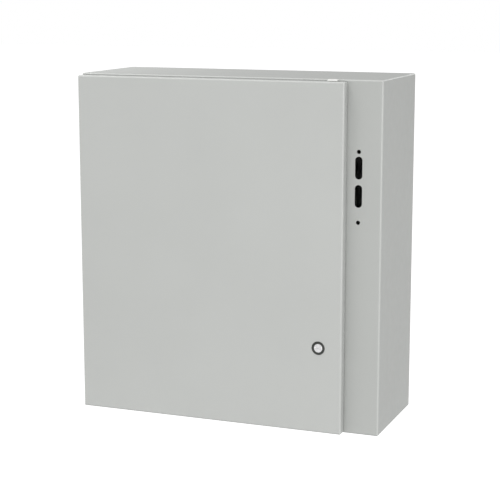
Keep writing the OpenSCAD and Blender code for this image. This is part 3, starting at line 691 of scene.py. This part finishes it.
def latch_insert():
    """Bright slotted head with a chamfered rim, and its shaft with a square end for the cam."""
    low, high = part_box("latch_spindle")
    cam_low, cam_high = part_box("latch_cam")
    centre = front_middle(low, high)
    seat = DOOR_LOW.y + 4.9 * MM
    radius, shaft, square = (high.x - low.x) / 2, 5 * MM, 3.5 * MM
    rim = shifted(low.y, radius, (0, -1.1), (0.35, -0.45), (1.1, 0))
    profile = [(low.y, 0), *rim, (seat, radius), (seat, shaft), (cam_low.y, shaft), (cam_low.y, 0)]
    head, slot = bmesh.new(), bmesh.new()
    lathe(head, centre, "y", profile, 64)
    half, wide, deep = mm(6.5, 1.2, 3)
    outline = centred_outline(centre.x, centre.z, half, wide, 1.15 * MM)
    prism(slot, outline, "y", low.y - 1 * MM, low.y + deep)
    head = carved(head, slot)
    add_box(head, (centre.x - square, cam_low.y, centre.z - square),
            (centre.x + square, cam_high.y, centre.z + square))
    make_piece("latch_insert", head, "bright_chrome", "latch", "latch_spindle", bevel=0.15 * MM)


def guide_block():
    """Moulded nylon guide with a sloped lead-in and round corners."""
    low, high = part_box("door_guide")
    depth, height = high.y - low.y, high.z - low.z
    side = [(low.y, low.z), (high.y, low.z), (high.y, high.z), (low.y + 0.25 * depth, high.z),
            (low.y, high.z - 0.45 * height)]
    bm = bmesh.new()
    prism(bm, side, "x", low.x, high.x)
    make_piece("door_guide_moulding", bm, "nylon_white", replaces="door_guide", bevel=0.9 * MM,
               segments=4)


def gasket_loop():
    """Foam seal round the inside of the door, domed towards the body."""
    low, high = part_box("door_gasket")
    width, corner, depth = 12 * MM, 16 * MM, high.y - low.y
    # (share of the width, share of the depth)
    section = [(0.0, 0.0), (0.0, 0.35), (0.06, 0.62), (0.2, 0.86), (0.38, 0.97), (0.5, 1.0), (0.62, 0.97),
               (0.8, 0.86), (0.94, 0.62), (1.0, 0.35), (1.0, 0.0)]
    bm = bmesh.new()
    loops = []
    for across, out in section:
        inset = across * width
        outline = front_outline(low, high, -inset, max(corner - inset, 1 * MM), 10)
        loops.append(level_loop(bm, outline, low.y + out * depth))
    skin(bm, loops, closed=True)
    make_piece("door_seal", bm, "foam_gasket", "door", "door_gasket")


def pocket_tray():
    """Document pocket: open top, round corners, a finger notch and two raised bands on its front."""
    low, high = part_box("document_pocket")
    wall, band = mm(2.2, 1)
    front = high.y - band
    tray, hollow, notch = bmesh.new(), bmesh.new(), bmesh.new()
    prism(tray, front_outline(low, high, 0, 9 * MM), "y", low.y, front)
    inside = rounded_outline((low.x + wall, low.z + wall), (high.x - wall, high.z + 20 * MM), 7 * MM)
    prism(hollow, inside, "y", low.y + wall, front - wall)
    half, deep = mm(46, 34)
    cut = centred_outline((low.x + high.x) / 2, high.z, half, deep, 15 * MM)
    prism(notch, cut, "y", front - 1.5 * wall, high.y)
    tray = carved(carved(tray, hollow), notch)
    inset, half_band = mm(22, 4)
    for z in (low.z + inset, high.z - deep - inset):
        outline = rounded_outline((low.x + inset, z - half_band), (high.x - inset, z + half_band), 3.5 * MM)
        prism(tray, outline, "y", front - 0.4 * MM, high.y)
    make_piece("pocket_tray", tray, "pocket_plastic", "door", "document_pocket", bevel=0.6 * MM)


latch_ring()
latch_insert()
guide_block()
gasket_loop()
pocket_tray()
soften(0.35, "hinge_body_leaves", "hinge_door_leaves", "hinge_pins", "latch_cam", "door_stiffeners",
       "ground_stud", "door_bond_stud")
soften(0.6, "latch_nut")
soften(0.3, "latch_cam_screw")
soften(0.5, "sub_panel")


# ---------------- transfer switch

SHAFT = middle("shaft_bushes")
SWING = next(joint for joint in frame["joints"] if joint["name"] == "transfer_swing")
HALF_SWING = math.radians(SWING["range_deg"][1]) / 2
POLES = [((low + high) / 2).x for low, high in solids("pole_housings")]


def turn_to_rest(bm):
    """Turns a shape built level with the shaft to where the shaft rests."""
    bmesh.ops.rotate(bm, cent=SHAFT, matrix=Matrix.Rotation(-HALF_SWING, 3, "X"), verts=bm.verts)


def stud_threads():
    """Stands in for the plain panel studs with threaded ones, on the same collars."""
    radius, pitch, edge, collar_deep = mm(4.75, 1.6, 0.5, 17.3)
    bm = bmesh.new()
    for low, high in solids("panel_studs"):
        collar = (high.x - low.x) / 2
        base = high.y - collar_deep
        profile = [(high.y, 0), (high.y, collar - edge), (high.y - edge, collar), (base + edge, collar),
                   (base, collar - edge), (base, radius)]
        along = base
        while along - pitch > low.y + pitch:
            profile += [(along - 0.1 * MM, radius), (along - pitch / 2, radius - 0.5 * MM)]
            along -= pitch
        profile += shifted(low.y, radius, (0.8, -0.3), (0, -0.9)) + [(low.y, 0)]
        lathe(bm, front_middle(low, high), "y", profile, 28)
    make_piece("panel_studs.threaded", bm, "zinc_steel", replaces="panel_studs")


def coil_windings():
    """Bobbins with end flanges, each wound with one visible layer of varnished wire."""
    flanges, turns = bmesh.new(), bmesh.new()
    bore, thick, rim, pitch, groove = mm(9.1, 4, 0.7, 1.8, 0.55)
    for low, high in solids("solenoid_coils"):
        centre = Vector(((low.x + high.x) / 2, (low.y + high.y) / 2, 0))
        outer = (high.x - low.x) / 2
        wound = outer - 3 * MM
        first, last = low.z + thick, high.z - thick
        for start, end in ((low.z, first), (last, high.z)):
            profile = [(start, bore), (start, outer - rim), (start + rim, outer), (end - rim, outer),
                       (end, outer - rim), (end, bore)]
            lathe(flanges, centre, "z", profile, 56, closed=True)
        profile = [(first, bore)]
        for i in range(int((high.z - low.z - 2 * thick) / pitch)):
            at = first + i * pitch
            profile += [(at, wound - groove), (at + 0.3 * pitch, wound), (at + 0.7 * pitch, wound)]
        profile += [(last, wound - groove), (last, bore)]
        lathe(turns, centre, "z", profile, 56, closed=True)
    make_piece("coil_bobbins", flanges, "ivory_plastic", replaces="solenoid_coils")
    make_piece("coil_turns", turns, "coil_wrap", replaces="solenoid_coils")


def coil_tape():
    """A band of insulating tape round the middle of each winding."""
    half, rim, thick = mm(9, 0.3, 0.6)
    bm = bmesh.new()
    for low, high in solids("solenoid_coils"):
        radius = (high.x - low.x) / 2 - 2.6 * MM
        profile = [(-half, radius - thick), (rim - half, radius), (half - rim, radius),
                   (half, radius - thick)]
        lathe(bm, (low + high) / 2, "z", profile, 56, closed=True)
    make_piece("coil_tape", bm, "yellow_plastic")


def braid_straps():
    """Woven copper straps from the load bars, under the crossbar, to the contact arms."""
    strands, turns, steps = 14, 5, 84
    bm = bmesh.new()
    for low, high in solids("flex_braids"):
        x_mid = (low.x + high.x) / 2
        half_w = (high.x - low.x) / 2 - 0.9 * MM
        radius = (high.y - low.y) / 2 - 2 * MM
        for strand in range(strands):
            path = []
            for step in range(steps + 1):
                t = step / steps
                phase = (t * turns + strand / strands) % 1
                across = 4 * abs(phase - 0.5) - 1
                lift = 0.375 * MM * math.sin(2 * math.pi * (phase * 3 + 0.25))
                side = 0.5 * MM if phase < 0.5 else -0.5 * MM
                reach = radius + side + lift
                path.append(Vector((x_mid + across * half_w, SHAFT.y - math.cos(math.pi * t) * reach,
                                    SHAFT.z - math.sin(math.pi * t) * reach)))
            sweep(bm, path, 0.95 * MM, 0.42 * MM, 6)
        for y in (SHAFT.y - radius, SHAFT.y + radius):
            add_box(bm, (low.x, y - 1.9 * MM, SHAFT.z - 6 * MM), (high.x, y + 1.9 * MM, SHAFT.z))
    piece = smooth_object("braid_straps", bm, "braid_copper")
    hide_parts("flex_braids")
    reach = Vector((0, 0.8 * (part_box("flex_braids")[1].y - SHAFT.y), 0))
    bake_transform(piece)


def hand_lever():
    """Hub, tapered arm and a ribbed grip with a round end."""
    at = Vector((middle("manual_handle").x, SHAFT.y, SHAFT.z))
    bm = bmesh.new()
    hub, bore, half, chamfer = mm(16, 8.02, 8, 1.2)
    profile = [(-half, bore), (-half, hub - chamfer), (chamfer - half, hub), (half - chamfer, hub),
               (half, hub - chamfer), (half, bore)]
    lathe(bm, at, "x", profile, 48, closed=True)
    half_arm = 4.6 * MM
    arm = shifted(at.y, at.z, (-14, -7), (-14, 7), (-104, 5), (-104, -5))
    prism(bm, arm, "x", at.x - half_arm, at.x + half_arm)
    grip = shifted(0, 0, (-94, 0), (-94, 7.6), (-96, 9))
    for rib in range(-98, -138, -8):
        grip += shifted(rib * MM, 0, (0, 9.6), (-2.4, 10.6), (-5.2, 10.6), (-7.2, 9.6))
    end, ball = mm(-150, 11)
    grip.append((end + 4 * MM, ball))
    for i in range(1, 8):
        t = math.pi / 2 * i / 8
        grip.append((end - ball * math.sin(t), ball * math.cos(t)))
    grip.append((end - ball, 0))
    lathe(bm, at, "y", grip, 40)
    turn_to_rest(bm)
    make_piece("hand_lever", bm, "red_moulding", "cross_shaft", "manual_handle", bevel=0.5 * MM)


def cover_screws():
    """Four cross-head screws in each arc cover."""
    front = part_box("arc_covers")[0].y
    across, up = mm(31, 60)
    places = [Vector((x + sx * across, front, SHAFT.z + sz * up))
              for x in POLES for sx in (-1, 1) for sz in (-1, 1)]
    place_copies("arc_cover_screws", cross_screw(3.2 * MM, 1.9 * MM), places, "zinc_steel")


def on_contact_tip(point):
    """True on the silver pads of the moving contacts."""
    level = Matrix.Rotation(HALF_SWING, 3, "X") @ (point - SHAFT)
    return abs(level.z) > 4.1 * MM and level.y < -60 * MM


soften(1.2, "switch_base", segments=3)
soften(0.8, "pole_housings")
soften(0.6, "arc_covers")
soften(0.4, "side_frames", "normal_contacts", "emergency_contacts", "load_terminals", "solenoid_frames")
soften(0.5, "terminal_lugs", "drive_crank", "crossbar", "aux_switches")
soften(0.3, "armature", "cross_shaft", "shaft_bushes", "aux_cams", "lug_screws")
add_tone(soften(0.5, "moving_contacts"), "lug_aluminium", on_contact_tip)
add_tone(soften(0.5, "position_drum"), "red_moulding", lambda point: point.z > SHAFT.z + 3 * MM)
stud_threads()
coil_windings()
coil_tape()
braid_straps()
hand_lever()
cover_screws()


# ---------------- controls

FACE_LOW, FACE_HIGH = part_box("controller_housing")
FACE_Y = FACE_LOW.y
WINDOW_LOW, WINDOW_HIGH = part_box("controller_window")


def face_plate():
    """Printed front sheet of the controller with an opening for the display."""
    sheet, hole = bmesh.new(), bmesh.new()
    prism(sheet, front_outline(FACE_LOW, FACE_HIGH, -6 * MM, 5 * MM), "y", FACE_Y - 0.35 * MM,
          FACE_Y + 0.2 * MM)
    prism(hole, front_outline(WINDOW_LOW, WINDOW_HIGH, 0, 2 * MM), "y", FACE_Y - 2 * MM, FACE_Y + 2 * MM)
    make_piece("controller_face", carved(sheet, hole), "face_print", bevel=0.1 * MM)


def display_bezel():
    """Raised frame round the display."""
    width, proud, behind = 5 * MM, FACE_Y - 1.6 * MM, FACE_Y + 0.6 * MM
    # (growth of the display's outline, depth)
    section = [(width, FACE_Y), (width - 0.6 * MM, proud), (1.2 * MM, proud), (0, FACE_Y - 0.4 * MM),
               (0, behind), (width, behind)]
    bm = bmesh.new()
    loops = [level_loop(bm, front_outline(WINDOW_LOW, WINDOW_HIGH, grow, 1.5 * MM + grow), y)
             for grow, y in section]
    skin(bm, loops, closed=True)
    make_piece("display_bezel", bm, "black_moulding", bevel=0.2 * MM)


def mimic_lines():
    """Raised lines from the lamps to an upright that joins them, and tick marks round the selector knob."""
    lamps = [(low + high) / 2 for low, high in solids("status_lamps")]
    lamps.sort(key=lambda lamp: -lamp.z)
    half, front, back = 0.6 * MM, FACE_Y - 0.6 * MM, FACE_Y - 0.3 * MM
    right = lamps[0].x + 12 * MM
    bm = bmesh.new()
    for lamp in lamps:
        add_box(bm, (lamp.x + 5 * MM, front, lamp.z - half), (right, back, lamp.z + half))
    add_box(bm, (right - 2 * half, front, lamps[-1].z - half), (right, back, lamps[0].z + half))
    knob = middle("selector_knob")
    dial, tick_size = 19 * MM, Matrix.Diagonal((3 * MM, 0.3 * MM, 0.7 * MM, 1))
    for step in range(-3, 4):
        t = math.radians(90 + 22.5 * step)
        tick = bmesh.ops.create_cube(bm, size=1)["verts"]
        at = Vector((knob.x + dial * math.cos(t), (front + back) / 2, knob.z + dial * math.sin(t)))
        place = Matrix.Translation(at) @ Matrix.Rotation(-t, 4, "Y")
        bmesh.ops.transform(bm, matrix=place @ tick_size, verts=tick)
    make_piece("mimic_lines", bm, "panel_paint")


def lamp_domes():
    """Lamp lenses with a domed end, each in a thin collar."""
    radius, dome = mm(3, 1.4)
    back, rim = FACE_Y + 5 * MM, FACE_Y - 0.5 * MM
    lens = [(back, 0), (back, radius), (rim, radius)]
    lens += [(rim - dome * math.sin(t), radius * math.cos(t)) for t in (0.3, 0.6, 0.9, 1.2)]
    lens += [(rim - dome, 0)]
    collar = shifted(FACE_Y, radius, (0, 1.1), (-0.8, 0.9), (-0.8, 0.1), (0, 0.1))
    lenses, collars = bmesh.new(), bmesh.new()
    for low, high in solids("status_lamps"):
        centre = front_middle(low, high)
        lathe(lenses, centre, "y", lens, 28)
        lathe(collars, centre, "y", collar, 28, closed=True)
    make_piece("lamp_lenses", lenses, "lamp_green", replaces="status_lamps")
    make_piece("lamp_collars", collars, "bright_chrome")


def push_button(node):
    """Domed button cap with its rim behind the face, in a collar."""
    low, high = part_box(node)
    centre = front_middle(low, high)
    rim, front, step = (high.x - low.x) / 2, low.y, high.y - 2 * MM
    radius = rim - 2 * MM
    dome = shifted(front, radius, (1.3, 0), (0.5, -0.5), (0.1, -1.6), (0, -2.8), (0.25, -5))
    profile = [(high.y, 0), (high.y, rim), (step, rim), (step, radius), *dome, (front + 0.35 * MM, 0)]
    button, collar = bmesh.new(), bmesh.new()
    lathe(button, centre, "y", profile, 44)
    make_piece(node + ".cap", button, SLOT_OF[node], BODY_OF[node], node)
    profile = shifted(FACE_Y, radius, (0.1, 2.6), (-1.1, 2.2), (-1.3, 1.2), (-0.9, 0.35), (0.1, 0.35))
    lathe(collar, centre, "y", profile, 44, closed=True)
    make_piece(node + ".collar", collar, "bright_chrome")


def scallop(points, at):
    """Flutes a ring: every fourth vertex is drawn in most, and its neighbours half as far."""
    depth, every = 0.035, 4
    for i, vert in enumerate(points):
        shrink = 1 - depth * (0.5 - 0.5 * math.cos(2 * math.pi * i / every))
        vert.co.x = at.x + (vert.co.x - at.x) * shrink
        vert.co.z = at.z + (vert.co.z - at.z) * shrink


def pointer_knob():
    """Knob with a scalloped skirt, a tapered pointer bar and a white index line."""
    low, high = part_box("selector_knob")
    at = front_middle(low, high)
    stem, skirt = mm(6, 14)
    front, skirt_front, skirt_back = low.y, FACE_Y - 5 * MM, FACE_Y - 0.6 * MM
    profile = [(high.y, 0), (high.y, stem), (skirt_back, stem), (skirt_back, skirt),
               (skirt_front + 1 * MM, skirt), (skirt_front, skirt - 1.2 * MM), (skirt_front, 0)]
    knob, line = bmesh.new(), bmesh.new()
    rings = []
    for along, radius in profile:
        rings.append(ring(knob, at, "y", along, radius, 96))
        if radius == skirt:
            scallop(rings[-1], at)
    skin(knob, rings)
    bar = shifted(at.x, at.z, (-4, -11.6), (-2.6, -13.6), (2.6, -13.6), (4, -11.6), (3.2, 11.6),
                  (1.6, 13.6), (-1.6, 13.6), (-3.2, 11.6))
    prism(knob, bar, "y", front, skirt_front + 0.5 * MM)
    make_piece("pointer_knob", knob, "black_moulding", "selector_knob", "selector_knob", bevel=0.35 * MM)
    half = 0.6 * MM
    add_box(line, (at.x - half, front - 0.1 * MM, at.z + 2 * MM),
            (at.x + half, front + 0.3 * MM, at.z + 12 * MM))
    make_piece("knob_index", line, "panel_paint", "selector_knob")


def relay_bases():
    """Sockets with sloped screw shoulders, relays with a ribbed cover, and a wire bail over each."""
    bases, covers, bails = bmesh.new(), bmesh.new(), bmesh.new()
    wide, tall, rib = mm(11, 18, 0.8)
    screws = []
    for low, high in solids("relays"):
        x, z = (low.x + high.x) / 2, (low.z + high.z) / 2
        front, back = low.y, high.y
        seat = back - 22.5 * MM
        socket = mirrored(back, z, (0, 36), (-14, 36), (-15, 33), (-17, 31), (-17, 25), (-22.5, 22))
        prism(bases, socket, "x", low.x, high.x)
        prism(covers, centred_outline(x, z, wide, tall, 2 * MM), "y", front + 0.8 * MM, seat + 0.2 * MM)
        for at in (x - 5 * MM, x, x + 5 * MM):
            add_box(covers, (at - rib, front, z - 13 * MM), (at + rib, front + 1.2 * MM, z + 2 * MM))
        foot = (seat - front) / MM + 3
        wire = mirrored(front, z, (foot, 20.5), (6, 20), (0.6, 15))
        wire.insert(3, (front + 0.4 * MM, z))
        sweep(bails, smooth_path([(x, *point) for point in wire]), 0.6 * MM, 0.6 * MM)
        screws += [Vector((x + i * 7.5 * MM, back - 16.9 * MM, z + s * 28 * MM))
                   for i in (-1, 0, 1) for s in (-1, 1)]
    make_piece("relay_sockets", bases, "black_moulding", replaces="relays", bevel=0.6 * MM)
    make_piece("relay_covers", covers, "relay_cover", replaces="relays", bevel=0.5 * MM)
    make_piece("relay_bails", bails, "zinc_steel")
    place_copies("relay_screws", cross_screw(2.6 * MM, 1.4 * MM), screws, "brass")


def terminal_strip():
    """Clamp terminals with stepped housings: the last two in neutral and earth colours."""
    blocks = solids("terminal_blocks")
    groups = {key: bmesh.new() for key in ("ivory_plastic", "blue_plastic", "earth_green")}
    keys = ["ivory_plastic"] * (len(blocks) - 2) + ["blue_plastic", "earth_green"]
    screws = []
    for key, (low, high) in zip(keys, blocks):
        x, z = (low.x + high.x) / 2, (low.z + high.z) / 2
        front, gap = low.y + 0.4 * MM, 0.1 * MM
        depth = (high.y - front) / MM
        side = mirrored(front, z, (depth, 22), (18, 22), (10, 17.6), (1, 16.8), (0, 16), (0, 9), (4, 7.6),
                        (4, 0.1))
        prism(groups[key], side, "x", low.x + gap, high.x - gap)
        screws += [Vector((x, front + 0.1 * MM, z + s * 12.6 * MM)) for s in (-1, 1)]
    for key, bm in groups.items():
        make_piece("terminals_" + key, bm, key, replaces="terminal_blocks", bevel=0.35 * MM)
    place_copies("terminal_screws", slot_screw(2.1 * MM, 0.5 * MM), screws, "zinc_steel")


def transformer_core(x, z, front, back):
    """Stacked sheets round a block that fills the gaps between them."""
    half_x, half_z, sheets = 34 * MM, 26 * MM, 26
    pitch = 2 * half_z / sheets
    bm = bmesh.new()
    for i in range(sheets):
        start = z - half_z + i * pitch
        add_box(bm, (x - half_x, front, start), (x + half_x, back - 2.5 * MM, start + 0.8 * pitch))
    half_x -= 0.4 * MM
    add_box(bm, (x - half_x, front + 0.4 * MM, z - half_z), (x + half_x, back - 2.6 * MM, z + half_z))
    make_piece("transformer_core", bm, "lamination_steel", replaces="control_transformer")


def transformer_bracket(x, z, low, high):
    """Foot plate with an upright strap on each side of the core."""
    side, thick, tall = mm(34.05, 1.4, 22)
    bm = bmesh.new()
    prism(bm, front_outline(low, high, 0, 3 * MM), "y", high.y - 2.5 * MM, high.y)
    for start in (x - side - thick, x + side):
        add_box(bm, (start, low.y + 3 * MM, z - tall), (start + thick, high.y - 2 * MM, z + tall))
    make_piece("transformer_bracket", bm, "zinc_steel", bevel=0.3 * MM)


def transformer_coil(x, z, back):
    """The winding that stands out above and below the core, its ends drawn in."""
    y = back - 32 * MM
    plan = centred_outline(x, y, 24 * MM, 22 * MM, 7 * MM)
    bm = bmesh.new()
    for near, far in ((z - 37 * MM, z - 25.5 * MM), (z + 25.5 * MM, z + 37 * MM)):
        rings = []
        for at, shrink in ((near, 0.96), (near + 2 * MM, 1), (far - 2 * MM, 1), (far, 0.93)):
            rings.append([bm.verts.new(Vector((x + (px - x) * shrink, y + (py - y) * shrink, at)))
                          for px, py in plan])
        skin(bm, rings)
        cap(bm, rings)
    make_piece("transformer_coil", bm, "tape_wrap", bevel=0.5 * MM)


def transformer_terminals(x, z, back):
    """Strip of terminals with a barrier on each side of every screw."""
    half, pitch, barrier = mm(22, 8.4, 0.5)
    bottom = z + 26.3 * MM
    bm = bmesh.new()
    add_box(bm, (x - half, back - 60 * MM, bottom), (x + half, back - 52 * MM, z + 33 * MM))
    for i in range(-2, 4):
        at = x + (i - 0.5) * pitch
        add_box(bm, (at - barrier, back - 61.5 * MM, bottom), (at + barrier, back - 52 * MM, z + 34 * MM))
    make_piece("transformer_terminals", bm, "black_moulding", bevel=0.25 * MM)
    screws = [Vector((x + i * pitch, back - 60 * MM, z + 29.6 * MM)) for i in range(-2, 3)]
    place_copies("transformer_screws", slot_screw(2.4 * MM, 1.2 * MM), screws, "brass")


def transformer():
    """Core, bracket, winding and terminals in the place of the plain CAD shape."""
    low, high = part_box("control_transformer")
    x, z = (low.x + high.x) / 2, (low.z + high.z) / 2
    transformer_core(x, z, low.y, high.y)
    transformer_bracket(x, z, low, high)
    transformer_coil(x, z, high.y)
    transformer_terminals(x, z, high.y)


def control_wires():
    """Sleeved wires with a slight bow, each with a ferrule at its upper end."""
    colours = ["wire_red", "wire_black", "wire_blue", "wire_red", "wire_white"]
    groups = {key: bmesh.new() for key in dict.fromkeys(colours)}
    ferrules = bmesh.new()
    radius = 1.5 * MM
    # (share of the length, share of the bow to the side, mm out to the front)
    bends = [(0, 0, 0), (0.12, 0, 0), (0.35, 0.5, 1.2), (0.6, 1, 1.8), (0.84, 0.3, 0.6)]
    for i, (low, high) in enumerate(solids("control_wiring")):
        x, y, top = (low.x + high.x) / 2, (low.y + high.y) / 2, high.z
        bow = 1.6 * MM * (1 if i % 2 else -1)
        path = [(x + sway * bow, y - out * MM, low.z + share * (top - low.z)) for share, sway, out in bends]
        path.append((x, y, top - 4 * MM))
        sweep(groups[colours[i % len(colours)]], smooth_path(path), radius, radius, 12)
        sleeve = shifted(top, 0, (-9, 0), (-9, 2), (-5, 2.1), (-4, 1.4), (0, 1.2), (0, 0))
        lathe(ferrules, Vector((x, y, 0)), "z", sleeve, 16)
    for key, bm in groups.items():
        make_piece("wires_" + key, bm, key, replaces="control_wiring")
    make_piece("wire_ferrules", ferrules, "ivory_plastic")


def neutral_screws():
    """Clamp screws along the neutral bar."""
    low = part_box("neutral_bar")[0]
    at = middle("neutral_bar")
    places = [Vector((at.x, low.y + 1.2 * MM, at.z + i * 16 * MM)) for i in range(-5, 6)]
    place_copies("neutral_bar_screws", slot_screw(2.95 * MM, 2 * MM), places, "zinc_steel")


def base_screws():
    """Cross-head screws that hold the switch to the panel."""
    places = []
    for low, high in solids("panel_screws"):
        places.append(front_middle(low, high) + Vector((0, low.y + 3.4 * MM, 0)))
    place_copies("panel_screws.cross", cross_screw(6.4 * MM, 3.4 * MM), places, "zinc_steel", "panel_screws")


def duct_cover_lips():
    """The duct's snap-on cover folds over both long edges."""
    low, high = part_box("wiring_duct")
    thick, reach, sunk = mm(1.2, 6, 0.3)
    bm = bmesh.new()
    for near, far in ((high.z - sunk, high.z + thick), (low.z - thick, low.z + sunk)):
        add_box(bm, (low.x, low.y - sunk, near), (high.x, low.y + reach, far))
    make_piece("duct_cover_lips", bm, "grey_plastic", bevel=0.4 * MM)


soften(0.6, "controller_housing")
soften(0.8, "fuse_holders")
soften(0.4, "wiring_duct")
duct_cover_lips()
soften(0.25, "din_rail")
soften(0.5, "fuse_lever_1", "fuse_lever_2", "panel_nuts")
BAR_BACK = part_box("neutral_bar")[0].y + 16.2 * MM
add_tone(soften(0.5, "neutral_bar"), "red_moulding", lambda point: point.y > BAR_BACK)
face_plate()
display_bezel()
mimic_lines()
lamp_domes()
push_button("test_button")
push_button("bypass_button")
pointer_knob()
relay_bases()
terminal_strip()
transformer()
control_wires()
neutral_screws()
base_screws()
